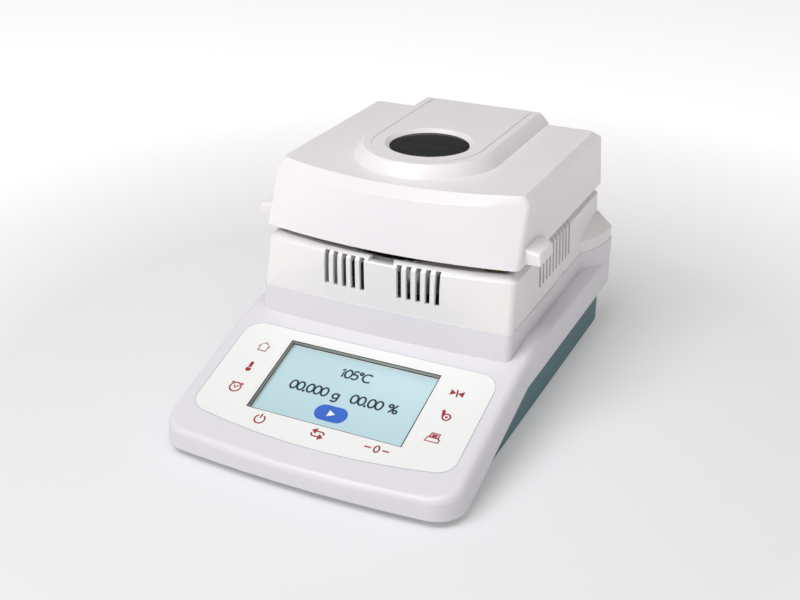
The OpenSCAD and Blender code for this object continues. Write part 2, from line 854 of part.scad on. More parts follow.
module chamber_housing() {
    color("#ebe9e4") difference() {
        union() {
            difference() {
                union() {
                    housing_form();
                    both_sides() {
                        translate([0, 0, seam_h]) bulge(bulge_r - seam_step, bulge_r - seam_step,
                            bulge_flat_h - seam_h, plinth_back_y - seam_step);
                        translate([0, 0, bulge_flat_h]) bulge(bulge_r - seam_step, bulge_cone_r,
                            bulge_cone_h, plinth_back_y - housing_back_lean);
                    }
                }
                housing_room();
                both_sides() translate([0, 0, seam_h - 1]) bulge(bulge_r - seam_step - case_wall,
                    bulge_r - seam_step - case_wall, bulge_flat_h - seam_h,
                    plinth_back_y - case_wall - housing_back_lean);
            }
            both_sides() for (d = [housing_boss_front_y, housing_boss_back_y])
                at(housing_boss_x, d, seam_h) cylinder(r = boss_r - 0.5, h = 18, $fn = 32);
            at(0, well_y, deck_h - 6) tube(liner_r + sheet_t + 3.5, liner_r + sheet_t + slip, 6 + deck_t);
        }
        at(0, well_y, deck_h - 10) cylinder(r = liner_r + sheet_t + slip, h = 30, $fn = round_fn);
        deck_room();
        at(0, 0, seam_h - 2) block(case_w * 2, case_depth * 3, 2);
        both_sides() for (d = [housing_boss_front_y, housing_boss_back_y])
            at(housing_boss_x, d, seam_h - 1) cylinder(r = screw_r, h = 14, $fn = 24);
        front_slots();
        side_slots();
        side_pockets();
        finger_notch();
        hinge_room();
        level_hole();
        side_dimples();
    }
}

// Room above the deck, inside the housing's rim
module deck_room() {
    inset = bevel_in + deck_rim_w;
    translate([0, 0, deck_top_h]) linear_extrude(3 * deck_drop) plan(outline(
        chamber_w / 2 - housing_side_lean - inset, plinth_y + plinth_lean + inset,
        plinth_back_y - housing_back_lean - inset, chamber_bow, plinth_corner_r, plinth_back_r));
}

module front_slots() {
    slot_l = plinth_lean + chamber_bow + case_wall;
    both_sides() for (i = [0:front_vents - 1])
        at(front_vent_x + i * vent_pitch, plinth_y, vent_low_h) translate([-vent_w / 2, 0, 0])
            cube([vent_w, slot_l, vent_top_h - vent_low_h]);
}

module side_slots() {
    both_sides() for (i = [0:side_vents - 1])
        at(side_slot_x, side_vent_y + i * vent_pitch - vent_w / 2, vent_low_h)
            cube([20, vent_w, side_vent_top_h - vent_low_h]);
}

// Thinner wall behind each row of side slots
module side_pockets() {
    both_sides() at(side_slot_x - case_wall, side_vent_y - vent_w, vent_low_h - vent_w / 2) cube([
        chamber_w / 2 - housing_side_lean - vent_skin - side_slot_x + case_wall,
        (side_vents - 1) * vent_pitch + 2 * vent_w, deck_h - vent_low_h + vent_w / 2 - eps]);
}

// Shallow step in the front bevel that lets a finger under the lid
module finger_notch() {
    at(0, plinth_y, chamber_top_h - notch_drop) linear_extrude(notch_drop + 1)
        polygon([[-notch_w / 2 + 3, 20], [notch_w / 2 - 3, 20], [notch_w / 2 + 2, 0], [-notch_w / 2 - 2, 0]]);
}

module hinge_room() {
    both_sides() at(hinge_x - hinge_l / 2 - knuckle_room, hinge_y, hinge_h) {
        rotate([0, 90, 0]) cylinder(r = knuckle_r + knuckle_room, h = hinge_l + 2 * knuckle_room, $fn = 48);
        translate([0, -knuckle_r - knuckle_room, 0])
            cube([hinge_l + 2 * knuckle_room, knuckle_r * 3, knuckle_r]);
        translate([0, -knuckle_r - knuckle_room, deck_h - hinge_h - 1])
            cube([hinge_l + 2 * knuckle_room, knuckle_r, hinge_h]);
    }
}

module level_hole() {
    at(level_x, level_y, deck_h - 1) cylinder(r = level_r + slip, h = 10, $fn = 48);
}

// Small blind holes over the seam, where the housing's latches are pressed in
module side_dimples() {
    both_sides() for (d = [dimple_front_y, dimple_back_y])
        at(chamber_w / 2 - seam_step - dimple_d, d, seam_h + dimple_r + 0.6)
            rotate([0, 90, 0]) cylinder(r = dimple_r, h = 10, $fn = 24);
}

module housing_screws() {
    color("#b9bcbf") both_sides() for (d = [housing_boss_front_y, housing_boss_back_y])
        at(housing_boss_x, d, seam_h - case_wall) screw(12);
}

module heat_deflector() {
    mid_y = (deflector_front_y + deflector_back_y) / 2;
    color("#c4c7c9") difference() {
        union() {
            at(0, mid_y, seam_h)
                rounded_block(deflector_w, deflector_back_y - deflector_front_y, deflector_t, 6);
            for (a = [30:120:270]) at(0, well_y, seam_h) rotate([0, 0, a])
                translate([liner_r - 12, 0, 0]) cylinder(r = 4, h = liner_floor_h - seam_h, $fn = 32);
        }
        at(0, well_y, seam_h - 1) cylinder(r = spindle_hole_r, h = 20, $fn = round_fn);
    }
}

module chamber_liner() {
    color("#c9cccd") at(0, well_y) rotate_extrude($fn = round_fn) polygon([
        [spindle_hole_r, liner_floor_h], [liner_r + sheet_t, liner_floor_h],
        [liner_r + sheet_t, deck_top_h], [liner_r + liner_flange_w, deck_top_h],
        [liner_r + liner_flange_w, liner_flange_h], [liner_r, liner_flange_h],
        [liner_r, liner_floor_h + sheet_t], [spindle_hole_r, liner_floor_h + sheet_t]
    ]);
}

module draft_shield() {
    low = liner_floor_h + sheet_t;
    color("#d5d7d8") at(0, well_y) rotate_extrude($fn = round_fn) polygon([
        [shield_r - 6, low], [shield_r, low], [shield_r, low + shield_h],
        [shield_r + 1.5, low + shield_h], [shield_r + 1.5, low + shield_h + sheet_t],
        [shield_r - sheet_t, low + shield_h + sheet_t], [shield_r - sheet_t, low + sheet_t],
        [shield_r - 6, low + sheet_t]
    ]);
}

module level_body() {
    color("#d9dadb") at(level_x, level_y, deck_h - 4) difference() {
        union() {
            cylinder(r = level_r, h = 4 + deck_t, $fn = 48);
            translate([0, 0, 4 + deck_t]) cylinder(r = level_r + 1.6, h = 1, $fn = 48);
        }
        translate([0, 0, 1]) cylinder(r = level_r - 1.5, h = 20, $fn = 48);
    }
}

module level_vial() {
    color("#b7d96a") at(level_x, level_y, deck_h - 3) cylinder(r = level_r - 1.5 - slip, h = 6, $fn = 48);
}

module lid_sensor() {
    color("#26282a") at(sensor_x, sensor_y, deck_h - 5) {
        block(12, 8, 5);
        translate([0, 0, -board_t]) block(18, 12, board_t);
    }
}

module lid_bumpers() {
    color("#55585b") both_sides() at(bumper_x, bumper_y, deck_top_h)
        cylinder(r = bumper_r, h = underside_h - deck_top_h - joint_gap, $fn = 32);
}

// Weighing

module load_cell() {
    color("#c7cacc") difference() {
        at(0, (cell_front_y + cell_back_y) / 2, cell_h0) block(cell_w, cell_l, cell_h);
        for (d = [-8, 8]) at(-cell_w, (cell_front_y + cell_back_y) / 2 + d, cell_h0 + cell_h / 2)
            rotate([0, 90, 0]) cylinder(r = 6, h = cell_w * 2, $fn = 48);
        at(-cell_w, (cell_front_y + cell_back_y) / 2 - 8, cell_h0 + cell_h / 2 - 2)
            cube([cell_w * 2, 16, 4]);
    }
}

module cell_mount() {
    color("#8d9194") difference() {
        union() {
            at(0, cell_back_y - mount_l / 2, tray_floor_h) block(cell_w + 6, mount_l, cell_h0 - tray_floor_h);
            at(0, cell_front_y + 8, tray_floor_h) block(cell_w, 14, cell_h0 - tray_floor_h - 1);
        }
        for (d = cell_screw_spots) at(0, cell_back_y - mount_l / 2 + d, 0)
            cylinder(r = screw_r + slip, h = cell_top_h, $fn = 24);
    }
}

module cell_screws() {
    color("#b9bcbf") for (d = cell_screw_spots)
        at(0, cell_back_y - mount_l / 2 + d, cell_top_h) cylinder(r = screw_head_r, h = 3, $fn = 32);
}

module pan_carrier() {
    color("#c9cccd") at(0, well_y) {
        translate([0, 0, spindle_foot_h]) cylinder(r = spindle_r, h = carrier_h - spindle_foot_h, $fn = 48);
        translate([0, 0, spindle_foot_h]) cylinder(r = spindle_r + 3, h = 3, $fn = 48);
        translate([0, 0, carrier_h - carrier_t - 3]) cylinder(r = spindle_r + 3, h = 3 + carrier_t, $fn = 48);
        translate([0, 0, carrier_h - carrier_t]) {
            for (a = [30:120:270]) rotate([0, 0, a]) translate([0, -carrier_arm_w / 2, 0])
                cube([carrier_r, carrier_arm_w, carrier_t]);
            tube(carrier_r, carrier_r - 4, carrier_t);
        }
    }
}

module sample_pan() {
    wall_r = pan_r - pan_rim_w;
    top = pan_floor_h + pan_h;
    color("#d9dbdc") at(0, well_y) rotate_extrude($fn = round_fn) polygon([
        [0, pan_floor_h], [wall_r - 1, pan_floor_h], [wall_r, pan_floor_h + 1],
        [wall_r, top - pan_t], [pan_r, top - pan_t], [pan_r, top], [wall_r - pan_t, top],
        [wall_r - pan_t, pan_floor_h + 1 + pan_t], [wall_r - 1 - pan_t, pan_floor_h + pan_t],
        [0, pan_floor_h + pan_t]
    ]);
}

module pan_handler() {
    color("#9fa3a6") at(0, well_y, handler_h) difference() {
        union() {
            cylinder(r = handler_r, h = handler_t, $fn = round_fn);
            translate([-6, -handler_tab_r, 0]) cube([12, handler_tab_r - pan_r - 1, 7]);
        }
        translate([0, 0, -1]) cylinder(r = handler_inner_r, h = 20, $fn = round_fn);
    }
}

// Power and signals

module main_board() {
    color("#2f6b45") at(0, main_board_y, post_top_h) {
        block(main_board_w, main_board_l, board_t);
        translate([-40, 0, board_t]) block(20, 20, 2.4);
        translate([10, 10, board_t]) block(14, 10, 2);
        translate([50, -8, board_t]) block(26, 18, 12);
        for (x = [-14, -4, 6]) translate([x, -16, board_t]) cylinder(r = 4, h = 11, $fn = 32);
        translate([-66, 6, board_t]) block(8, 30, 8);
    }
}

module power_supply() {
    color("#c9a227") at(supply_x, supply_y, post_top_h) {
        block(supply_w, supply_l, board_t);
        translate([0, (supply_l - supply_core_l) / 2 - 9, board_t])
            block(supply_w - 22, supply_core_l, supply_core_tall);
        translate([-supply_can_r - 7, supply_can_r + 9 - supply_l / 2, board_t])
            cylinder(r = supply_can_r, h = supply_core_tall, $fn = 32);
        translate([supply_w / 2 - 18, 14 - supply_l / 2, board_t]) block(18, 10, supply_core_tall - 8);
    }
}

module heater_relay() {
    fin_pitch = (relay_w - 10) / (relay_fins - 1);
    color("#6f7478") at(relay_x, relay_y, post_top_h) {
        block(relay_w, relay_l, relay_base_t);
        for (i = [0:relay_fins - 1]) translate([5 - relay_w / 2 + fin_pitch * i, relay_l0 / 2, relay_base_t])
            block(2, relay_l - relay_l0 - 8, relay_fin_h);
        translate([0, (relay_l0 - relay_l) / 2 + 2, relay_base_t]) block(relay_w - 12, relay_l0, relay_tall);
    }
}

module mains_inlet() {
    color("#26282a") at(inlet_x, back_wall_y, inlet_h) difference() {
        union() {
            translate([-inlet_w / 2, -inlet_l, -inlet_tall / 2]) cube([inlet_w, inlet_l, inlet_tall]);
            translate([-inlet_w / 2 - inlet_flange, 0, -inlet_tall / 2 - inlet_flange])
                cube([inlet_w + 2 * inlet_flange, inlet_flange_t, inlet_tall + 2 * inlet_flange]);
        }
        translate([0, inlet_flange_t + eps, plug_lift]) rotate([90, 0, 0]) linear_extrude(plug_depth)
            plug_outline();
        translate([-drawer_w / 2 - drawer_clear, inlet_flange_t - drawer_l - 1,
            -drawer_drop - drawer_h / 2 - drawer_clear])
            cube([drawer_w + 2 * drawer_clear, drawer_l + 2, drawer_h + 2 * drawer_clear]);
        for (x = [-7, 7]) translate([x, -inlet_l - 1, plug_lift - 2]) pin_slot();
        translate([0, -inlet_l - 1, plug_lift + 2]) pin_slot();
    }
}

module pin_slot() {
    translate([-pin_t / 2, 0, -pin_w / 2]) cube([pin_t, 12, pin_w]);
}

module plug_outline() {
    cut = 4.5;
    polygon([
        [-plug_w / 2, -plug_h / 2], [plug_w / 2, -plug_h / 2], [plug_w / 2, plug_h / 2 - cut],
        [plug_w / 2 - cut, plug_h / 2], [-plug_w / 2 + cut, plug_h / 2], [-plug_w / 2, plug_h / 2 - cut]
    ]);
}

module inlet_pins() {
    color("#c8a24a") at(inlet_x, back_wall_y, inlet_h + plug_lift) for (p = [[-7, -2], [7, -2], [0, 2]])
        translate([p[0] - pin_t / 2, -inlet_l - 5, p[1] - pin_w / 2]) cube([pin_t, inlet_l + 3, pin_w]);
}

module fuse_drawer() {
    color("#1f2122") at(inlet_x, back_wall_y + inlet_flange_t, inlet_h - drawer_drop) difference() {
        union() {
            translate([-drawer_w / 2, -drawer_l, -drawer_h / 2]) cube([drawer_w, drawer_l, drawer_h]);
            translate([-drawer_w / 2, -eps, -drawer_h / 2]) cube([drawer_w, 1.2, drawer_h]);
        }
        translate([-fuse_l / 2 - 0.5, -drawer_l + 3, -drawer_h / 2 + 1])
            cube([fuse_l + 1, 2 * fuse_r + 0.6, drawer_h]);
        translate([-6, 0.4, -1]) cube([12, 2, 2]);
    }
}

module fuse() {
    color("#cfd8da") at(inlet_x, back_wall_y + inlet_flange_t, inlet_h - drawer_drop)
        translate([-fuse_l / 2, -drawer_l + 3 + fuse_r + 0.3, -drawer_h / 2 + 1 + fuse_r + 0.05])
            rotate([0, 90, 0]) cylinder(r = fuse_r, h = fuse_l, $fn = 32);
}

module switch_body() {
    color("#26282a") at(switch_x, back_wall_y, switch_h) difference() {
        union() {
            translate([-switch_w / 2, -switch_l, -switch_tall / 2]) cube([switch_w, switch_l, switch_tall]);
            translate([-switch_w / 2 - 1.5, 0, -switch_tall / 2 - 1.5])
                cube([switch_w + 3, 1.8, switch_tall + 3]);
        }
        translate([-rocker_w / 2 - 0.4, -rocker_pivot_in - rocker_r + 1, -rocker_tall / 2 - 1.1])
            cube([rocker_w + 0.8, 40, rocker_tall + 2.2]);
        translate([-switch_w / 2 + 0.6, -rocker_pivot_in, 0]) rotate([0, 90, 0])
            cylinder(r = rocker_pin_r + pin_clear, h = switch_w - 1.2, $fn = 32);
    }
}

module switch_rocker() {
    color("#3a3d3f") at(switch_x, back_wall_y, switch_h) translate([0, -rocker_pivot_in, 0]) {
        rotate([rocker_tilt, 0, 0]) difference() {
            intersection() {
                translate([-rocker_w / 2, -3.2, -rocker_tall / 2]) cube([rocker_w, 20, rocker_tall]);
                translate([-rocker_w / 2, -1, 0]) rotate([0, 90, 0])
                    cylinder(r = rocker_r, h = rocker_w, $fn = 72);
            }
            translate([-rocker_w, rocker_r + 6.2, 0]) rotate([0, 90, 0])
                cylinder(r = 9.5, h = 2 * rocker_w, $fn = 72);
        }
        translate([-switch_w / 2 + 1, 0, 0]) rotate([0, 90, 0])
            cylinder(r = rocker_pin_r, h = switch_w - 2, $fn = 32);
    }
}

// Tapered outline of the serial socket
module serial_outline(grow) {
    w = serial_w / 2 + grow;
    h = serial_tall / 2 + grow;
    polygon([[-w + 1.6, -h], [w - 1.6, -h], [w, h], [-w, h]]);
}

module serial_port() {
    color("#b9bcbf") at(serial_x, back_wall_y, serial_h) difference() {
        union() {
            translate([-serial_flange_w / 2, 0, -serial_flange_tall / 2])
                cube([serial_flange_w, 1.2, serial_flange_tall]);
            translate([0, serial_shell_l, 0]) rotate([90, 0, 0]) linear_extrude(serial_shell_l)
                serial_outline(1);
            translate([-serial_body_w / 2, -serial_body_l, -serial_body_tall / 2])
                cube([serial_body_w, serial_body_l + eps, serial_body_tall]);
            for (x = [-serial_stud_x, serial_stud_x]) translate([x, 1, 0]) rotate([-90, 0, 0])
                cylinder(r = 2.6, h = serial_shell_l - 1, $fn = 6);
        }
        translate([0, serial_shell_l + 1, 0]) rotate([90, 0, 0]) linear_extrude(serial_shell_l)
            serial_outline(0);
    }
}

module serial_pin() {
    rotate([-90, 0, 0]) cylinder(r = 0.5, h = 5, $fn = 16);
}

module serial_pins() {
    color("#c8a24a") at(serial_x, back_wall_y, serial_h) {
        for (i = [-2:2]) translate([i * serial_pitch, 1, serial_pitch / 2]) serial_pin();
        for (i = [-1.5:1.5]) translate([i * serial_pitch, 1, -serial_pitch / 2]) serial_pin();
    }
}

// Lid

module lid_form(wall) {
    hull() {
        slice(lid_low_h - (wall > 0 ? 1 : 0), outline(lid_w / 2 - wall, lid_front_y + wall, lid_back_y - wall,
            lid_low_bow, lid_corner_r - wall / 2, lid_back_corner_r));
        slice(lid_edge_h - wall / 2, outline(lid_w / 2 - lid_side_lean - wall,
            lid_front_y + lid_front_lean + wall, lid_back_y - lid_back_lean - wall,
            lid_high_bow, lid_corner_r - wall / 2, lid_back_corner_r));
        slice(lid_top_h - wall - eps, outline(lid_w / 2 - lid_side_lean - lid_top_in - wall / 2,
            lid_front_y + lid_front_lean + lid_front_in + wall / 2,
            lid_back_y - lid_back_lean - lid_back_in - wall / 2,
            lid_high_bow - 8, lid_corner_r, lid_back_corner_r));
    }
}

// Horseshoe platform that carries the window and runs to the back of the lid
module platform_form(shrink, low_h, high_h) {
    foot = platform_foot_r - shrink;
    shoulder = platform_top_r + platform_round_w - shrink;
    top = platform_top_r - shrink;
    top_h = high_h - low_h;
    flank_h = top_h - platform_round_h;
    at(0, well_y, low_h) {
        cylinder(r1 = foot, r2 = shoulder, h = flank_h, $fn = 144);
        translate([0, 0, flank_h]) cylinder(r1 = shoulder, r2 = top, h = platform_round_h, $fn = 144);
        translate([0, lid_back_y - well_y, 0]) rotate([90, 0, 0]) linear_extrude(lid_back_y - well_y)
            polygon([[-foot, 0], [foot, 0], [shoulder, flank_h], [top, top_h], [-top, top_h],
                [-shoulder, flank_h]]);
    }
}

// Wedge that cuts the platform's back end to the slope of the lid's back
module platform_back_cut(shift) {
    low_y = lid_back_y - lid_back_lean - lid_back_in + platform_back_in - shift;
    side_profile(case_w, [
        [low_y + 2, lid_top_h - 6], [low_y - 1.5, platform_top_h + 1], [case_depth + 20, platform_top_h + 1],
        [case_depth + 20, lid_top_h - 6]
    ]);
}

module platform_groove() {
    r = platform_top_r - groove_in;
    at(0, well_y, platform_top_h - groove_d) {
        intersection() {
            tube(r, r - groove_w, 2);
            translate([-r, -r, 0]) cube([2 * r, r, 2]);
        }
        both_sides() translate([r - groove_w, 0, 0]) cube([groove_w, lid_back_y, 2]);
    }
}

// Lifting lug on the right side, rounded at its upper edges and fading into the lid behind
module lid_lug() {
    x0 = lid_w / 2 - 3;
    x1 = lid_w / 2 + lug_w;
    back_y = lug_front_y + lug_l;
    hull() {
        at(x0, lug_front_y, lug_low_h) cube([x1 - x0, lug_l, 1]);
        for (d = [lug_front_y + lug_r, back_y - lug_r]) {
            at(x0, d, lug_high_h - lug_r) sphere(r = lug_r, $fn = hull_fn);
            at(x1 - lug_r, d, lug_high_h - lug_fall - lug_r) sphere(r = lug_r, $fn = hull_fn);
        }
        at(x0, back_y + lug_tail_l, lug_low_h) cube([2, 1, lug_high_h - lug_low_h - 2 * lug_r]);
    }
}

module lid_shell() {
    color("#eceaf0") difference() {
        union() {
            difference() {
                union() {
                    lid_form(0);
                    difference() {
                        platform_form(0, lid_top_h - eps, platform_top_h);
                        platform_back_cut(0);
                    }
                    both_sides() lid_lug();
                }
                lid_form(lid_wall);
                difference() {
                    platform_form(lid_wall, lid_top_h - lid_wall - 1, platform_top_h - lid_wall);
                    platform_back_cut(lid_wall + 1);
                }
            }
            both_sides() for (p = lid_bosses)
                at(p[0], p[1], underside_top_h)
                    cylinder(r = lid_boss_r, h = lid_top_h - lid_wall - underside_top_h + eps, $fn = 32);
            at(0, well_y, window_h - window_boss_drop) tube(window_r + window_seat_w + 2.5, window_r + slip,
                window_boss_drop + window_t + lid_wall - 1);
        }
        both_sides() for (p = lid_bosses)
            at(p[0], p[1], underside_top_h - 1) cylinder(r = screw_r, h = 14, $fn = 24);
        at(0, well_y, window_h + window_t) cylinder(r = window_r - 1, h = 40, $fn = round_fn);
        at(0, well_y, window_h - 20) cylinder(r = window_r + slip, h = 20 + window_t, $fn = round_fn);
        at(0, well_y, platform_top_h - window_bevel_d) cylinder(r1 = window_r - 1,
            r2 = window_r - 1 + window_bevel, h = window_bevel_d + eps, $fn = round_fn);
        platform_groove();
        lid_hinge_room();
    }
}

module lid_hinge_room() {
    both_sides() at(hinge_x - hinge_l / 2 - knuckle_room, hinge_y - knuckle_r - knuckle_room - 2, 0)
        cube([hinge_l + 2 * knuckle_room, case_depth, hinge_h + knuckle_r + knuckle_room]);
}

module lid_underside() {
    color("#d9d8d6") difference() {
        union() {
            translate([0, 0, underside_h]) linear_extrude(underside_t) plan(outline(
                lid_w / 2 - lid_wall - 0.6, lid_front_y + lid_wall + 1, lid_back_y - lid_wall - 2,
                lid_low_bow + 1, lid_corner_r - 1, lid_back_corner_r - 1));
            at(0, well_y, underside_top_h) tube(ring_outer_r + 2, guard_r + slip, 1.4 + guard_t);
        }
        at(0, well_y, underside_h - 1) cylinder(r = guard_r + slip, h = 30, $fn = round_fn);
        both_sides() for (p = lid_bosses)
            at(p[0], p[1], underside_h - 1) cylinder(r = screw_r + 0.2, h = 10, $fn = 24);
        both_sides() at(hinge_x - hinge_l / 2 - knuckle_room, hinge_y - knuckle_r - knuckle_room, 0)
            cube([hinge_l + 2 * knuckle_room, case_depth, lid_top_h]);
    }
}

module glass_ring() {
    color("#c9cccd") at(0, well_y, 0) rotate_extrude($fn = round_fn) polygon([
        [guard_r - guard_seat_w, underside_h - ring_lip], [ring_outer_r, underside_h - ring_lip],
        [ring_outer_r, underside_h], [guard_r - slip, underside_h], [guard_r - slip, guard_h],
        [guard_r - guard_seat_w, guard_h]
    ]);
}

module guard_glass() {
    color("#dfe8ea") at(0, well_y, guard_h) cylinder(r = guard_r, h = guard_t, $fn = round_fn);
}

module reflector() {
    low = guard_h + guard_t;
    t = reflector_t;
    color("#d5d7d8") at(0, well_y) difference() {
        rotate_extrude($fn = round_fn) polygon([
            [guard_r - 3, low], [ring_outer_r, low], [ring_outer_r, low + t], [guard_r - 2, low + t],
            [lamp_r + 10, lamp_h + 2], [lamp_r + 6, sight_low_h - 1 + t], [sight_r + 1, sight_low_h + t],
            [sight_r + 1, sight_low_h], [lamp_r + 6 - t, sight_low_h - 1], [lamp_r + 10 - t, lamp_h + 2]
        ]);
        lamp_ends() cylinder(r = lamp_end_r + 1, h = lid_top_h, $fn = 32);
    }
}

// Places of the lamp's two upturned ends
module lamp_ends() {
    for (s = [-1, 1]) rotate([0, 0, 90 + s * lamp_gap_angle / 2]) translate([lamp_r, 0, 0]) children();
}

module halogen_lamp() {
    gap_y = 2 * lamp_r;
    gap_x = gap_y * tan(lamp_gap_angle / 2);
    color("#e8eef0") at(0, well_y, lamp_h) {
        difference() {
            rotate_extrude($fn = round_fn) translate([lamp_r, 0]) circle(r = lamp_tube_r, $fn = 32);
            linear_extrude(3 * lamp_tube_r, center = true) polygon([[0, 0], [gap_x, gap_y], [-gap_x, gap_y]]);
        }
        lamp_ends() cylinder(r = lamp_end_r, h = holder_h - lamp_h + 2, $fn = 32);
    }
}

module lamp_holders() {
    color("#e9e4d8") at(0, well_y, holder_h) lamp_ends() difference() {
        block(13, 13, 8);
        translate([0, 0, -1]) cylinder(r = lamp_end_r + pin_clear, h = 3 + pin_clear, $fn = 32);
    }
}

module sight_tube() {
    color("#c9cccd") at(0, well_y, sight_low_h - 1) {
        tube(sight_r, sight_r - 1, window_h - window_boss_drop - sight_low_h + 1);
        tube(sight_r + 3, sight_r - 0.5, 1 - slip);
    }
}

module window_glass() {
    color("#2e3130") at(0, well_y, window_h) cylinder(r = window_r, h = window_t, $fn = round_fn);
}

module window_ring() {
    color("#8d9194") at(0, well_y, window_h - 1.2) tube(window_r, window_r - 3, 1.2);
}

module temperature_probe() {
    color("#b9bcbf") at(0, well_y + guard_r - guard_seat_w + probe_r, 0)
        translate([0, 0, underside_h - ring_lip - probe_l]) {
            cylinder(r = probe_r, h = probe_l, $fn = 32);
            sphere(r = probe_r, $fn = 32);
        }
}

module lid_magnet() {
    color("#8d9194") at(sensor_x, sensor_y, underside_top_h) cylinder(r = 5, h = 3, $fn = 32);
}

module lid_screws() {
    color("#b9bcbf") both_sides() for (p = lid_bosses)
        at(p[0], p[1], underside_h) {
            cylinder(r = screw_r, h = 12, $fn = 24);
            translate([0, 0, -ring_lip]) cylinder(r = screw_head_r, h = ring_lip, $fn = 32);
        }
}

module terminal_block() {
    color("#e9e4d8") at(0, lid_back_y - 34, underside_top_h) difference() {
        block(3 * terminal_pitch, terminal_l, terminal_tall);
        for (i = [-1:1]) translate([i * terminal_pitch, 0, terminal_tall / 2])
            cylinder(r = terminal_r, h = terminal_tall, $fn = 24);
    }
}

// Hinge

// Knuckles of one hinge, the middle one or the outer two
module knuckles(middle) {
    starts = middle ? [knuckle_l + knuckle_gap] : [0, 2 * knuckle_l];
    l = middle ? knuckle_l - 2 * knuckle_gap : knuckle_l;
    for (s = starts) translate([s - hinge_l / 2, 0, 0]) rotate([0, 90, 0])
        cylinder(r = knuckle_r, h = l, $fn = 48);
}

module hinge_bore() {
    translate([-hinge_l, 0, 0]) rotate([0, 90, 0])
        cylinder(r = hinge_pin_r + pin_clear, h = hinge_l * 2, $fn = 48);
}

module chamber_leaves() {
    color("#8d9194") both_sides() at(hinge_x, hinge_y, hinge_h) difference() {
        union() {
            knuckles(false);
            for (s = [-hinge_l / 2, hinge_l / 2 - knuckle_l])
                translate([s, leaf_y, -chamber_leaf_h]) cube([knuckle_l, leaf_t, chamber_leaf_h]);
            translate([-hinge_l / 2, leaf_y, -chamber_leaf_h])
                cube([hinge_l, leaf_t, chamber_leaf_h - knuckle_r - 1]);
        }
        hinge_bore();
    }
}

module hinge_pins() {
    color("#b9bcbf") both_sides() at(hinge_x - hinge_l / 2, hinge_y, hinge_h)
        rotate([0, 90, 0]) cylinder(r = hinge_pin_r, h = hinge_l, $fn = 48);
}

module lid_leaves() {
    color("#8d9194") both_sides() at(hinge_x, hinge_y, 0) difference() {
        union() {
            translate([0, 0, hinge_h]) knuckles(true);
            translate([-knuckle_l / 2 + knuckle_gap, leaf_y, hinge_h])
                cube([knuckle_l - 2 * knuckle_gap, -leaf_y, underside_top_h + leaf_t - hinge_h]);
            translate([-hinge_l / 2, -lid_leaf_l, underside_top_h])
                cube([hinge_l, lid_leaf_l + leaf_y + leaf_t, leaf_t]);
        }
        translate([0, 0, hinge_h]) hinge_bore();
    }
}

base_tray();
top_cover();
case_screws();
back_feet();
foot_pad_left();
foot_pad_right();
foot_wheel_left();
foot_wheel_right();
foot_stem_left();
foot_stem_right();
keypad_membrane();
key_board();
display_gasket();
display_glass();
display_module();
display_board();
chamber_housing();
housing_screws();
heat_deflector();
chamber_liner();
draft_shield();
level_body();
level_vial();
lid_sensor();
lid_bumpers();
load_cell();
cell_mount();
cell_screws();
pan_carrier();
sample_pan();
pan_handler();
main_board();
power_supply();
heater_relay();
mains_inlet();
inlet_pins();
fuse_drawer();
fuse();
switch_body();
switch_rocker();
serial_port();
serial_pins();
lid_shell();
lid_underside();
window_glass();
window_ring();
sight_tube();
reflector();
halogen_lamp();
lamp_holders();
guard_glass();
glass_ring();
temperature_probe();
lid_magnet();
lid_screws();
terminal_block();
chamber_leaves();
hinge_pins();
lid_leaves();
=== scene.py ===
# Moisture analyser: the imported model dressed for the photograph's view.
# Everything is in metres, in the part's own frame: X across, Y back, Z up.
import json
import math

import bpy
from mathutils import Matrix, Vector

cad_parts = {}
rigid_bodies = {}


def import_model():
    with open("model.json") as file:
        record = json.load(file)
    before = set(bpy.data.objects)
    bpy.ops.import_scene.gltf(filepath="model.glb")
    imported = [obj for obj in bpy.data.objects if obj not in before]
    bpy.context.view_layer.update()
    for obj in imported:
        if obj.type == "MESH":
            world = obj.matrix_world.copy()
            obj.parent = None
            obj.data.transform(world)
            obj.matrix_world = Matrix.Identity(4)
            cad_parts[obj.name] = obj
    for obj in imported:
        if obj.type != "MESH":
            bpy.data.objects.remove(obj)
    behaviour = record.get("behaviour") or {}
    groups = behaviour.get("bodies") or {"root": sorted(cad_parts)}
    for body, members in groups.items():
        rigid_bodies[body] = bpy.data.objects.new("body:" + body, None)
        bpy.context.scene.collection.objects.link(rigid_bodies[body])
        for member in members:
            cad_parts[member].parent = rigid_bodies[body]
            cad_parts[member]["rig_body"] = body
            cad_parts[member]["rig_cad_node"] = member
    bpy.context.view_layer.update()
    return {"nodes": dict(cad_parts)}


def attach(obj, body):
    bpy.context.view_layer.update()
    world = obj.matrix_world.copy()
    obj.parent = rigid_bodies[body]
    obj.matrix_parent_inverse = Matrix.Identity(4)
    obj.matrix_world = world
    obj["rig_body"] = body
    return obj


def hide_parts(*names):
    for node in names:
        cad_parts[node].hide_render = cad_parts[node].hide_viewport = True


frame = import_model()
nodes = frame["nodes"]

MM = 0.001

# Places taken from the part's source, in mm and degrees
CASE_DEPTH = 316
CONSOLE_LENGTH = 117
CONSOLE_BACK_HEIGHT = 54.8
CONSOLE_TILT = 17.4
WELL_FROM_FRONT = 198.5
SCREEN_DEPTH = 4
WELL = Vector((0, WELL_FROM_FRONT - CASE_DEPTH / 2, 0))

# Plane of the console: X across, Y up the slope, Z out of the surface. Its origin is where the
# console meets the plinth.
CONSOLE = (Matrix.Translation((0, (CONSOLE_LENGTH - CASE_DEPTH / 2) * MM, CONSOLE_BACK_HEIGHT * MM))
           @ Matrix.Rotation(math.radians(CONSOLE_TILT), 4, "X"))
SCREEN_PLANE = CONSOLE @ Matrix.Translation((0, 0, -SCREEN_DEPTH * MM))

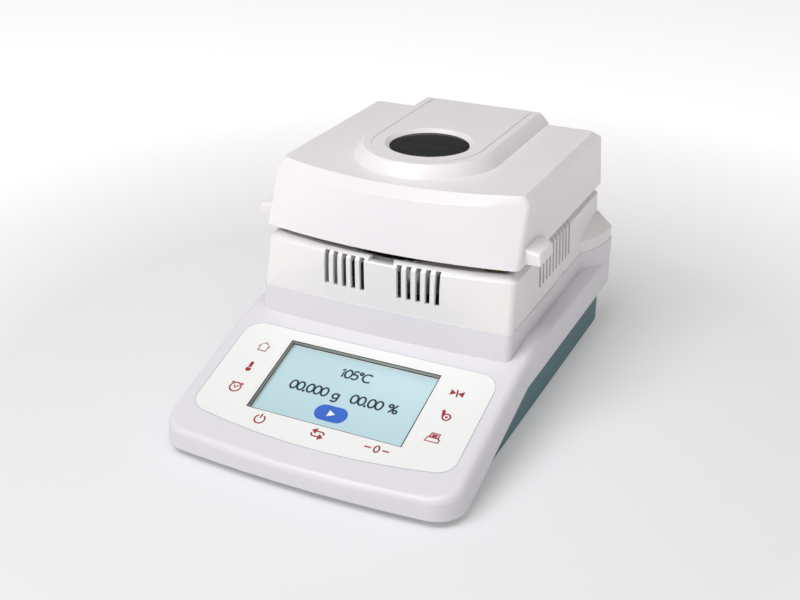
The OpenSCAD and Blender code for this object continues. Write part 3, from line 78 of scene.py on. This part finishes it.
# Moulded edges sharper than this many degrees are rounded, and smooth shading stops at them
MOULD_ANGLE = 22
MOULD_SEGMENTS = 2

# A wave texture draws about this many rings to a unit at scale 1
RINGS_PER_UNIT = 3.1


# Materials

def linear(code):
    """A hex colour, as seen on a screen, turned to the renderer's linear values."""
    parts = [int(code[i:i + 2], 16) / 255 for i in (1, 3, 5)]
    return [p / 12.92 if p <= 0.04045 else ((p + 0.055) / 1.055) ** 2.4 for p in parts] + [1.0]


def add(material, kind, settings=None, values=None, links=None):
    """Adds one shader node with its settings, socket values and incoming links."""
    made = material.node_tree.nodes.new(kind)
    for key, value in (settings or {}).items():
        setattr(made, key, value)
    for key, value in (values or {}).items():
        made.inputs[key].default_value = value
    for key, source in (links or {}).items():
        material.node_tree.links.new(source, made.inputs[key])
    return made


def start(name, colour, roughness, metallic=0.0, **more):
    """A material with its main shader set, and the object's own coordinates ready."""
    material = bpy.data.materials.new(name)
    material.use_nodes = True
    shader = material.node_tree.nodes["Principled BSDF"]
    shader.inputs["Base Color"].default_value = linear(colour)
    shader.inputs["Roughness"].default_value = roughness
    shader.inputs["Metallic"].default_value = metallic
    for key, value in more.items():
        shader.inputs[key.replace("_", " ")].default_value = value
    place = add(material, "ShaderNodeTexCoord").outputs["Object"]
    return material, shader, place


def noise(material, place, size_mm, detail=2.0, stretch=(1, 1, 1)):
    """Noise whose features are about size_mm across."""
    mapped = add(material, "ShaderNodeMapping", values={"Scale": stretch}, links={"Vector": place})
    return add(material, "ShaderNodeTexNoise",
               values={"Scale": 1 / (size_mm * MM), "Detail": detail},
               links={"Vector": mapped.outputs["Vector"]}).outputs["Fac"]


def spread(material, fac, low, high):
    """Turns noise, which keeps mostly to its middle, into a number between low and high."""
    return add(material, "ShaderNodeMapRange",
               values={"From Min": 0.3, "From Max": 0.7, "To Min": low, "To Max": high},
               links={"Value": fac}).outputs["Result"]


def tint(material, shader, fac, low, high):
    """Colour that drifts between two hex values with a pattern."""
    # The mix node's colour sockets are its inputs 6 and 7 and its output 2
    mix = add(material, "ShaderNodeMix", {"data_type": "RGBA"},
              {6: linear(low), 7: linear(high)}, {0: fac})
    material.node_tree.links.new(mix.outputs[2], shader.inputs["Base Color"])


def roughen(material, shader, fac, low, high):
    """Roughness that varies between two values with a pattern."""
    rough = spread(material, fac, low, high)
    material.node_tree.links.new(rough, shader.inputs["Roughness"])


def dent(material, shader, fac, depth_mm, strength=1.0):
    """Relief of the given depth from a pattern."""
    bump = add(material, "ShaderNodeBump",
               values={"Strength": strength, "Distance": depth_mm * MM}, links={"Height": fac})
    material.node_tree.links.new(bump.outputs["Normal"], shader.inputs["Normal"])


def moulded(name, low, high, roughness, grain_mm=1.4, depth_mm=0.012):
    """Injection-moulded plastic: an even body with a faint drift in shade, over 45 mm, from the
    melt's flow, and the mould's spark-eroded grain, which breaks up the highlights. The real grain
    is about 0.1 mm, drawn coarser so that it shows."""
    material, shader, place = start(name, low, roughness, IOR=1.53)
    tint(material, shader, noise(material, place, 45), low, high)
    grain = noise(material, place, grain_mm, 3)
    roughen(material, shader, grain, roughness - 0.05, roughness + 0.05)
    dent(material, shader, grain, depth_mm)
    return material


def rolled_metal(name, low, high, roughness, stretch, grain_mm=0.5):
    """Sheet or drawn metal: fine lines along the direction it was rolled or brushed, a fraction of
    a millimetre apart, that pull the highlights into streaks."""
    material, shader, place = start(name, low, roughness, 1.0)
    lines = noise(material, place, grain_mm, 2, stretch)
    tint(material, shader, lines, low, high)
    roughen(material, shader, lines, roughness - 0.06, roughness + 0.08)
    dent(material, shader, lines, 0.004)
    return material


def spun_metal(name, low, high, roughness, ring_mm=1.2):
    """Metal turned or spun about the sample well's axis: faint rings round it, as a lathe leaves,
    that draw the light out into a fan, and a slow change of gloss."""
    material, shader, place = start(name, low, roughness, 1.0)
    centred = add(material, "ShaderNodeMapping", values={"Location": -WELL * MM},
                  links={"Vector": place})
    rings = add(material, "ShaderNodeTexWave",
                {"wave_type": "RINGS", "rings_direction": "Z"},
                {"Scale": 1 / (ring_mm * MM) / RINGS_PER_UNIT, "Distortion": 0.3, "Detail": 1.0},
                {"Vector": centred.outputs["Vector"]}).outputs["Fac"]
    tint(material, shader, rings, low, high)
    dent(material, shader, rings, 0.003)
    roughen(material, shader, noise(material, place, 9), roughness - 0.04, roughness + 0.06)
    return material


def board(name, low, high):
    """Glass-fibre circuit board under green lacquer. Its copper tracks show as paler lines in
    faint relief, 2 mm apart and 6 mm long."""
    material, shader, place = start(name, low, 0.35, IOR=1.5)
    tracks = add(material, "ShaderNodeTexBrick", {"offset": 0.35},
                 {"Scale": 140.0, "Mortar Size": 0.03, "Brick Width": 0.9, "Row Height": 0.3,
                  "Color1": linear(low), "Color2": linear(high), "Mortar": linear("#4F9468")},
                 {"Vector": place})
    material.node_tree.links.new(tracks.outputs["Color"], shader.inputs["Base Color"])
    dent(material, shader, tracks.outputs["Fac"], 0.04, 0.6)
    return material


def ink(name, low, high, roughness=0.45):
    """Screen-printed ink: an even film with slight thin spots from the mesh it was pressed
    through, which keep it from looking like flat colour."""
    material, shader, place = start(name, low, roughness)
    film = noise(material, place, 1.1)
    tint(material, shader, film, low, high)
    dent(material, shader, film, 0.004)
    return material


def glass(name, colour, roughness, transmission):
    """Clear glass with the faint unevenness of a wiped surface, which softens what it mirrors."""
    material, shader, place = start(name, colour, roughness, IOR=1.5,
                                    Transmission_Weight=transmission)
    smear = noise(material, place, 14)
    roughen(material, shader, smear, roughness * 0.7, roughness * 1.5)
    return material


# The cover's white is darker and cooler than the lid's. This is partly the cover's own tone and
# partly painted shade for the dimmer light its plinth and front rim get down by the console
COVER_WHITE = moulded("abs_cover_white", "#DDDBE1", "#E1DFE5", 0.36)
LID_WHITE = moulded("abs_lid_white", "#ECE8EB", "#EFEBEE", 0.34)
CHAMBER_WHITE = moulded("heat_resistant_white", "#EAE8E8", "#EEECEC", 0.42, 1.8, 0.018)
UNDERSIDE_GREY = moulded("heat_resistant_grey", "#CFCECC", "#D5D4D2", 0.5, 1.8, 0.02)
TRAY_TEAL = moulded("abs_tray_teal", "#2F6368", "#346B70", 0.45)
FOOT_RUBBER = moulded("foot_rubber", "#2A2B2D", "#323436", 0.75, 1.2, 0.03)
DARK_NYLON = moulded("black_nylon", "#1D1F21", "#26282A", 0.5, 1.2, 0.02)
ROCKER_BLACK = moulded("rocker_black", "#2B2D2F", "#333537", 0.3, 1.6, 0.01)
KEYPAD_FILM = moulded("polyester_keypad_film", "#ECEEED", "#EFF1F0", 0.34, 6, 0.002)
GASKET_FOAM = moulded("display_gasket_foam", "#232B25", "#2C352E", 0.85, 0.8, 0.03)
CERAMIC = moulded("steatite_ceramic", "#E4DED0", "#ECE7DA", 0.6, 1.0, 0.02)
ZINC = rolled_metal("zinc_plated_steel", "#A9ACAF", "#BEC1C3", 0.32, (1, 1, 1), 1.5)
SHEET = rolled_metal("brushed_stainless_sheet", "#BFC2C4", "#D2D5D6", 0.3, (1, 14, 1))
ALUMINIUM = rolled_metal("milled_aluminium", "#BFC3C6", "#D0D3D5", 0.34, (12, 1, 1))
HEATSINK = rolled_metal("anodised_heatsink", "#5E6367", "#70757A", 0.42, (1, 12, 1))
LEAF_STEEL = rolled_metal("pressed_hinge_steel", "#7E8286", "#95999C", 0.36, (12, 1, 1))
GOLD = rolled_metal("gold_plated_contact", "#C9A24A", "#D9B566", 0.25, (1, 8, 1), 0.6)
SPUN_STEEL = spun_metal("spun_stainless_steel", "#BCBFC1", "#CFD2D3", 0.26)
SPUN_ALUMINIUM = spun_metal("spun_aluminium_pan", "#C9CBCD", "#DADCDD", 0.32, 1.6)
MIRROR = spun_metal("polished_reflector", "#D6D8D9", "#E2E4E5", 0.12, 2.2)
BOARD_GREEN = board("circuit_board_green", "#1F5B38", "#26693F")
SUPPLY_BOARD = moulded("transformer_varnish", "#B08A2A", "#C39A36", 0.45, 1.0, 0.03)
SCREEN_METAL = rolled_metal("tinned_display_shield", "#A3A7AA", "#B5B9BB", 0.34, (1, 10, 1))
QUARTZ = glass("quartz_lamp_tube", "#F2F4F2", 0.12, 0.3)
GUARD = glass("borosilicate_guard", "#E9F1F1", 0.03, 0.94)
VIAL = glass("level_vial_spirit", "#BFE05A", 0.05, 0.55)
FUSE_GLASS = glass("fuse_glass", "#DCE6E8", 0.05, 0.8)
RED_INK = ink("red_symbol_ink", "#961A27", "#A32632")
DARK_INK = ink("display_segments_dark", "#22303C", "#2A3844", 0.3)
BLUE_INK = ink("display_key_blue", "#3565C4", "#3E70D0", 0.3)
# White print for the mark on the display's key; the same white also draws the painted highlight
# along the glass's edge
WHITE_PRINT_AND_HIGHLIGHT = ink("display_mark_and_edge_highlight_white", "#EAF2F8", "#F6FAFD", 0.3)
# Grey for the line just inside the keypad film's edge: painted shade for the shadow gap between the
# film and the cover
EDGE_SHADE_INK = ink("keypad_border_grey", "#C3C8CC", "#CDD1D5", 0.4)
# The sleeve's grey is set light: partly the display bezel's own grey, partly painted light, lifted
# because the sleeve lies in the recess's shade
SLEEVE_GREY = moulded("display_sleeve_grey", "#A8A99F", "#B4B5AB", 0.6, 0.8, 0.01)


def screen_face():
    """Lit display under glass: a pale cyan face with a faint glow, a little brighter in places."""
    face = "#BAD6DE"
    material, shader, place = start("display_face_cyan", face, 0.16, Emission_Color=linear(face),
                                    Emission_Strength=0.05)
    tint(material, shader, noise(material, place, 71.43, 0), "#B4D2DB", "#C2DCE2")
    return material


def smoked_pane():
    """Dark coated glass over the lamp, with faint paler streaks painted into its colour: a painted
    reflection of the reflector's fine turned lines seen through it."""
    material, shader, place = start("smoked_window_glass", "#131616", 0.09, IOR=1.5,
                                    Specular_IOR_Level=0.12)
    # Paler streaks painted into the glass's colour: painted reflection of the reflector's turned
    # lines
    streaks = spread(material, noise(material, place, 2.2, 3, (0.12, 1, 1)), 0, 1)
    tint(material, shader, streaks, "#101313", "#262B2A")
    return material


SCREEN = screen_face()
WINDOW = smoked_pane()

FINISH = {
    COVER_WHITE: ["top_cover"],
    LID_WHITE: ["lid_shell"],
    CHAMBER_WHITE: ["chamber_housing"],
    UNDERSIDE_GREY: ["lid_underside"],
    TRAY_TEAL: ["base_tray"],
    FOOT_RUBBER: ["back_feet", "foot_pad_left", "foot_pad_right", "lid_bumpers"],
    DARK_NYLON: ["mains_inlet", "fuse_drawer", "switch_body", "lid_sensor"],
    ROCKER_BLACK: ["switch_rocker"],
    KEYPAD_FILM: ["keypad_membrane"],
    GASKET_FOAM: ["display_gasket"],
    CERAMIC: ["lamp_holders", "terminal_block"],
    ZINC: ["case_screws", "housing_screws", "foot_wheel_left", "foot_wheel_right", "foot_stem_left",
           "foot_stem_right", "cell_screws", "lid_screws", "hinge_pins", "serial_port"],
    SHEET: ["heat_deflector", "temperature_probe"],
    ALUMINIUM: ["load_cell", "cell_mount"],
    HEATSINK: ["heater_relay"],
    LEAF_STEEL: ["chamber_leaves", "lid_leaves", "lid_magnet"],
    GOLD: ["inlet_pins", "serial_pins"],
    SPUN_STEEL: ["chamber_liner", "draft_shield", "glass_ring", "pan_carrier", "window_ring",
                 "level_body"],
    SPUN_ALUMINIUM: ["sample_pan", "pan_handler"],
    MIRROR: ["reflector", "sight_tube"],
    BOARD_GREEN: ["key_board", "display_board", "main_board"],
    SUPPLY_BOARD: ["power_supply"],
    SCREEN_METAL: ["display_module"],
    QUARTZ: ["halogen_lamp"],
    GUARD: ["guard_glass"],
    VIAL: ["level_vial"],
    FUSE_GLASS: ["fuse"],
    WINDOW: ["window_glass"],
    SCREEN: ["display_glass"],
}


def paint(piece, material):
    """Gives a piece one material in place of those it had."""
    piece.data.materials.clear()
    piece.data.materials.append(material)


for finish, names in FINISH.items():
    for name in names:
        paint(nodes[name], finish)


# Pieces

def only(piece):
    """Makes one piece the only selected and active one."""
    bpy.ops.object.select_all(action="DESELECT")
    piece.select_set(True)
    bpy.context.view_layer.objects.active = piece


def softened(node, body, width_mm):
    """A copy of a moulded node with its corners rounded as a mould rounds them, which then stands
    for the node."""
    source = nodes[node]
    piece = source.copy()
    piece.data = source.data.copy()
    piece.name = node + "_moulded"
    piece.parent = None
    # The copy is a piece of its own, so it doesn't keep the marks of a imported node
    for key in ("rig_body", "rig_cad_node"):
        if key in piece:
            del piece[key]
    bpy.context.scene.collection.objects.link(piece)
    only(piece)
    bpy.ops.object.mode_set(mode="EDIT")
    bpy.ops.mesh.select_all(action="SELECT")
    bpy.ops.mesh.remove_doubles(threshold=0.02 * MM)
    bpy.ops.mesh.dissolve_limited(angle_limit=math.radians(1.0))
    bpy.ops.object.mode_set(mode="OBJECT")
    bevel = piece.modifiers.new("mould_radius", "BEVEL")
    bevel.limit_method = "ANGLE"
    bevel.angle_limit = math.radians(MOULD_ANGLE)
    bevel.width = width_mm * MM
    bevel.segments = MOULD_SEGMENTS
    bevel.use_clamp_overlap = True
    bpy.ops.object.modifier_apply(modifier=bevel.name)
    bpy.ops.object.shade_smooth_by_angle(angle=math.radians(MOULD_ANGLE))
    even = piece.modifiers.new("flat_faces_stay_flat", "WEIGHTED_NORMAL")
    even.keep_sharp = True
    bpy.ops.object.modifier_apply(modifier=even.name)
    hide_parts(node)
    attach(piece, body)


softened("top_cover", "base", 0.6)
softened("chamber_housing", "base", 0.5)
softened("lid_shell", "lid", 0.7)
softened("base_tray", "base", 0.4)


# Printed symbols, drawn as flattened strokes of one width

def arc(x, y, r, start_deg, end_deg, steps=20, tall=1.0):
    """Points along an arc, from one angle to another, stretched along Y by tall."""
    turns = [math.radians(start_deg + (end_deg - start_deg) * i / steps) for i in range(steps + 1)]
    return [(x + r * math.cos(t), y + r * tall * math.sin(t)) for t in turns]


def strokes(name, lines, width_mm, place, material, tall_mm=0.05,
            shapes=()):
    """Strokes, and filled shapes, as a film that stands tall_mm proud of a plane. A line that ends
    where it began is closed."""
    made = []
    for kind, group in (("line", lines), ("shape", shapes)):
        if not group:
            continue
        curve = bpy.data.curves.new(name + "_" + kind, "CURVE")
        curve.dimensions = "3D" if kind == "line" else "2D"
        for points in group:
            returns = math.dist(points[0], points[-1]) < 1e-6
            closed = kind == "shape" or (len(points) > 3 and returns)
            points = points[:-1] if closed and returns else points
            spline = curve.splines.new("POLY")
            spline.points.add(len(points) - 1)
            for p, (x, y) in zip(spline.points, points):
                p.co = (x * MM, y * MM, 0, 1)
            spline.use_cyclic_u = closed
        if kind == "line":
            curve.bevel_depth = width_mm * MM / 2
            curve.bevel_resolution = 2
            curve.use_fill_caps = True
        else:
            curve.fill_mode = "BOTH"
            curve.extrude = width_mm * MM / 2
        piece = bpy.data.objects.new(name + "_" + kind, curve)
        bpy.context.scene.collection.objects.link(piece)
        only(piece)
        bpy.ops.object.convert(target="MESH")
        made.append(bpy.context.view_layer.objects.active)
    bpy.ops.object.select_all(action="DESELECT")
    for piece in made:
        piece.select_set(True)
    bpy.context.view_layer.objects.active = made[0]
    if len(made) > 1:
        bpy.ops.object.join()
    piece = bpy.context.view_layer.objects.active
    piece.name = name
    piece.data.transform(place @ Matrix.Diagonal((1, 1, 2 * tall_mm / width_mm, 1)))
    paint(piece, material)
    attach(piece, "base")


def placed(lines, x, y, size=1.0):
    """The lines scaled by size and moved to x, y."""
    return [[(x + px * size, y + py * size) for px, py in points] for points in lines]


# Where the keys' symbols are on the console
LEFT_X, RIGHT_X = -72.2, 72.0
POWER_X, REPEAT_X, ZERO_X = -41.8, 0.6, 42.2
UPPER_Y, MIDDLE_Y, LOWER_Y, FRONT_Y = -32.4, -51.8, -71.4, -91.6
SYMBOL_LINE = 1.15

key_lines = []
key_shapes = []
# Home
key_lines += placed([[(-4.4, 0.3), (0, 4.1), (4.4, 0.3), (3, 0.3), (3, -3.8), (-3, -3.8), (-3, 0.3),
                      (-4.4, 0.3)]], LEFT_X, UPPER_Y)
# Thermometer
key_shapes += placed([arc(0, -2.7, 2, 0, 360),
                      arc(0, 3.2, 1.2, 0, 180) + [(-1.2, -1.4), (1.2, -1.4)]], LEFT_X, MIDDLE_Y)
# Timer
key_lines += placed([arc(0, -0.4, 3.9, 0, 360), [(-1.6, 1), (0, -1), (2, 1.6)],
                     [(2.7, 3.9), (4.5, 2.7)], [(-2.7, 3.9), (-4.5, 2.7)]], LEFT_X, LOWER_Y)
# Power
key_lines += placed([arc(0, -0.4, 3.5, 122, 418), [(0, 0.4), (0, 4.2)]], POWER_X, FRONT_Y)
# Repeat
key_lines += placed([[(4.2, -0.2), (4.2, 1), (3, 2.1), (-1.6, 2.1)],
                     [(-4.2, 0.2), (-4.2, -1), (-3, -2.1), (1.6, -2.1)]], REPEAT_X, FRONT_Y)
key_shapes += placed([[(-4.9, 2.1), (-1.4, 4.7), (-1.4, -0.5)],
                      [(4.9, -2.1), (1.4, -4.7), (1.4, 0.5)]], REPEAT_X, FRONT_Y)
# Zero between two dashes
key_lines += placed([arc(0, 0, 1.7, 0, 360, tall=1.5), [(-8.5, 0), (-3.9, 0)],
                     [(8.5, 0), (3.9, 0)]], ZERO_X, FRONT_Y + 0.6)
# Calibration
key_lines += placed([[(0.65, -3.1), (-0.65, 3.1)]], RIGHT_X, UPPER_Y)
key_shapes += placed([[(-4.6, 2.6), (-0.6, 0), (-4.6, -2.6)], [(4.6, 2.6), (0.6, 0), (4.6, -2.6)]],
                     RIGHT_X, UPPER_Y)
# Heating time
key_lines += placed([arc(1.2, -1.5, 2.6, 0, 360)], RIGHT_X, MIDDLE_Y)
key_shapes += placed([arc(1.2, -1.5, 0.9, 0, 360),
                      [(-1.9, -2.2), (-3.4, 3.2), (-2.4, 4.2), (-1.2, 3.6), (-0.4, 0.4)]],
                     RIGHT_X, MIDDLE_Y)
# Printer
key_lines += placed([[(-5.2, -3.8), (4.6, -3.8), (5, -1), (3.6, 0), (-4, 0), (-5.2, -3.8)],
                     [(-3, 0.2), (-2.2, 4), (3.8, 4), (3.4, 0.2)], [(-1.4, 2.6), (2.6, 2.6)],
                     [(-1.7, 1.3), (2.2, 1.3)]], RIGHT_X, LOWER_Y, 0.9)
strokes("key_symbols", key_lines, SYMBOL_LINE, CONSOLE, RED_INK, 0.08,
        key_shapes)

# The keypad film: straight sides and back, a front that bows out, and round corners
FILM_HALF, FILM_BACK, FILM_FRONT = 94.5, -10.8, -104.3
FILM_BOW, FILM_CORNER = 9.5, 13
EDGE_SHADE_LINE = 0.4


def film_edge(inset):
    """Edge of the keypad film drawn in by inset, in the console's plane."""
    half, r = FILM_HALF - inset, FILM_CORNER - inset
    back, front = FILM_BACK - inset, FILM_FRONT + inset
    bow_r = (half * half + FILM_BOW * FILM_BOW) / (2 * FILM_BOW)
    corner_x = half - r
    drop = math.sqrt((bow_r - r) ** 2 - corner_x ** 2)
    turn = math.degrees(math.atan2(drop, corner_x))
    corner_y = front + bow_r - drop
    points = (arc(corner_x, corner_y, r, -turn, 0) + arc(corner_x, back - r, r, 0, 90)
              + arc(-corner_x, back - r, r, 90, 180) + arc(-corner_x, corner_y, r, 180, 180 + turn)
              + arc(0, front + bow_r, bow_r, 180 + turn, 360 - turn, 40))
    return points + points[:1]


# A grey line drawn just inside the film's edge: painted shade for the dark gap between the film and
# the cover's recess
strokes("keypad_border", [film_edge(EDGE_SHADE_LINE)], EDGE_SHADE_LINE, CONSOLE, EDGE_SHADE_INK,
        0.03)

# Digits on the display, one unit tall: how far each moves the next one on, and its lines
DIGITS = {
    "0": (0.72, [arc(0.34, 0.5, 0.32, 0, 360, 28, 1.5)]),
    "1": (0.42, [[(0.02, 0.8), (0.24, 1), (0.24, 0)]]),
    "5": (0.66, [[(0.52, 1), (0.14, 1), (0.1, 0.58)] + arc(0.28, 0.31, 0.3, 125, -140, 18)]),
    ".": (0.26, [arc(0.08, 0.03, 0.05, 0, 360, 8)]),
    "o": (0.4, [arc(0.14, 0.86, 0.14, 0, 360)]),
    "C": (0.92, [arc(0.5, 0.5, 0.48, 48, 312)]),
    "g": (0.78, [arc(0.3, 0.32, 0.28, 0, 360),
                 [(0.58, 0.62), (0.58, -0.06)] + arc(0.3, -0.06, 0.28, 0, -150, 12)]),
    "%": (1.0, [arc(0.2, 0.78, 0.18, 0, 360), arc(0.72, 0.22, 0.18, 0, 360),
                [(0.16, 0), (0.76, 1)]]),
    " ": (0.5, []),
}
DIGIT_TALL, DIGIT_LINE = 7.4, 1.42
TEMPERATURE_Y, READINGS_Y = -38.6, -58


def digits(text, y_base):
    """Lines of a row of digits, centred on the display."""
    x = -sum(DIGITS[c][0] for c in text) * DIGIT_TALL / 2
    lines = []
    for c in text:
        advance, shape = DIGITS[c]
        lines += placed(shape, x, y_base, DIGIT_TALL)
        x += advance * DIGIT_TALL
    return lines


strokes("display_digits", digits("105oC", TEMPERATURE_Y) + digits("00.000 g  00.00 %", READINGS_Y),
        DIGIT_LINE, SCREEN_PLANE, DARK_INK)

# The key drawn on the display: a lozenge with round ends, and a mark that lies on it
PILL_X, PILL_Y, PILL_HALF, PILL_R, PILL_FILM = -1.2, -70.6, 5.1, 6.6, 0.05
strokes("display_start_key", [], 0.5, SCREEN_PLANE, BLUE_INK, tall_mm=PILL_FILM,
        shapes=[arc(PILL_X + PILL_HALF, PILL_Y, PILL_R, -90, 90)
                + arc(PILL_X - PILL_HALF, PILL_Y, PILL_R, 90, 270)])
strokes("display_start_mark", [], 0.5, SCREEN_PLANE @ Matrix.Translation((0, 0, PILL_FILM * MM)),
        WHITE_PRINT_AND_HIGHLIGHT,
        shapes=[[(PILL_X - 2, PILL_Y + 2.8), (PILL_X + 3, PILL_Y), (PILL_X - 2, PILL_Y - 2.8)]])

# Lining of the display's recess: a grey sleeve between dark edges, and a pale line along the
# glass's edge that is a painted highlight, where the edge of the glass catches the light
SCREEN_X, SCREEN_BACK, SCREEN_FRONT = 56, -20.7, -84.7
SLEEVE_DEPTH = 1.7


def screen_edge(inset):
    """Edge of the display's opening drawn in by inset, in the console's plane."""
    x, back, front = SCREEN_X - inset, SCREEN_BACK - inset, SCREEN_FRONT + inset
    return [(-x, front), (-x, back), (x, back), (x, front), (-x, front)]


# The sleeve's light grey is partly painted light on the recess wall
strokes("display_sleeve", [], 1.0, CONSOLE @ Matrix.Translation((0, 0, -SLEEVE_DEPTH * MM)),
        SLEEVE_GREY, 1.0, [screen_edge(0.02), screen_edge(0.3)])
strokes("display_rim", [screen_edge(0.2)[:4]], 0.8, CONSOLE, GASKET_FOAM)
strokes("display_front_rim", [screen_edge(0.1)[3:]], 0.4, CONSOLE, GASKET_FOAM)
# Painted highlight: a white line along the glass's left and back edges stands for light caught by
# the glass's edge
strokes("display_glass_edge_highlight", [screen_edge(0.6)[:3]], 0.9, SCREEN_PLANE, WHITE_PRINT_AND_HIGHLIGHT)


# Studio

# Each light's width in metres, its power in watts and its place
LIGHTS = {
    "front_soft_box": (1.6, 19.3, (-0.67, -1.46, 1.85)),
    "high_soft_box": (1.6, 28.4, (-0.35, -0.95, 2.25)),
    "side_fill": (1.2, 5.6, (0.99, -0.44, 1.99)),
}
LIGHTS_AIM = Vector((0, 0, 0.08))


def paper():
    """White paper that is lit from behind too, and less so in the middle, under the analyser, so
    that its soft shadow shows while the paper far away is bright."""
    material, shader, place = start("paper_sweep", "#CFCED1", 0.9,
                                    Emission_Color=linear("#FFFFFF"))
    tint(material, shader, noise(material, place, 300), "#CDCCCF", "#D1D0D3")
    away = add(material, "ShaderNodeVectorMath", {"operation": "LENGTH"}, links={0: place})
    glow = add(material, "ShaderNodeMapRange",
               values={"From Min": 0.3, "From Max": 0.7, "To Min": 0.24, "To Max": 0.6},
               links={"Value": away.outputs["Value"]})
    material.node_tree.links.new(glow.outputs["Result"], shader.inputs["Emission Strength"])
    return material


def studio():
    """The paper floor, the room's even light and three soft boxes."""
    bpy.ops.object.select_all(action="DESELECT")
    bpy.ops.mesh.primitive_plane_add(size=12)
    floor = bpy.context.active_object
    floor.name = "paper_floor"
    paint(floor, paper())
    # White walls round the table, and a dimmer ceiling
    world = bpy.data.worlds.new("studio_light")
    world.use_nodes = True
    walls = world.node_tree.nodes["Background"]
    walls.inputs["Color"].default_value = linear("#FFF9F5")
    height = add(world, "ShaderNodeSeparateXYZ",
                 links={0: add(world, "ShaderNodeTexCoord").outputs["Generated"]}).outputs["Z"]
    fade = add(world, "ShaderNodeMapRange",
               values={"From Min": 0.05, "From Max": 0.25, "To Min": 0.8, "To Max": 0.2},
               links={"Value": height})
    world.node_tree.links.new(fade.outputs["Result"], walls.inputs["Strength"])
    bpy.context.scene.world = world
    for name, (size, energy, place) in LIGHTS.items():
        data = bpy.data.lights.new(name, "AREA")
        data.size = size
        data.energy = energy
        lamp = bpy.data.objects.new(name, data)
        lamp.location = place
        aim = LIGHTS_AIM - lamp.location
        lamp.rotation_euler = aim.to_track_quat("-Z", "Y").to_euler()
        bpy.context.scene.collection.objects.link(lamp)
    bpy.context.scene.view_settings.view_transform = "Standard"


# The photograph's camera, found from the edges of the object in it: turn about Z, height above the
# level and roll in degrees, focal length and sensor width in mm, and its place in metres
AZIMUTH, ELEVATION, ROLL = 25.53, 26.31, 0.116
FOCAL_LENGTH, SENSOR_WIDTH = 52.69, 36
CAMERA_PLACE = (0.3169, -0.6700, 0.4309)


def camera():
    """Camera at the photograph's place."""
    azimuth, elevation, roll = (math.radians(a) for a in (AZIMUTH, ELEVATION, ROLL))
    level = math.cos(elevation)
    back = Vector((math.sin(azimuth) * level, -math.cos(azimuth) * level, math.sin(elevation)))
    right = Vector((math.cos(azimuth), math.sin(azimuth), 0))
    up = back.cross(right)
    turn = Matrix((right, up, back)).transposed().to_4x4() @ Matrix.Rotation(roll, 4, "Z")
    data = bpy.data.cameras.new("photo_camera")
    data.sensor_width = SENSOR_WIDTH
    data.lens = FOCAL_LENGTH
    shot = bpy.data.objects.new("photo_camera", data)
    shot.matrix_world = Matrix.Translation(CAMERA_PLACE) @ turn
    bpy.context.scene.collection.objects.link(shot)
    bpy.context.scene.camera = shot


studio()
camera()
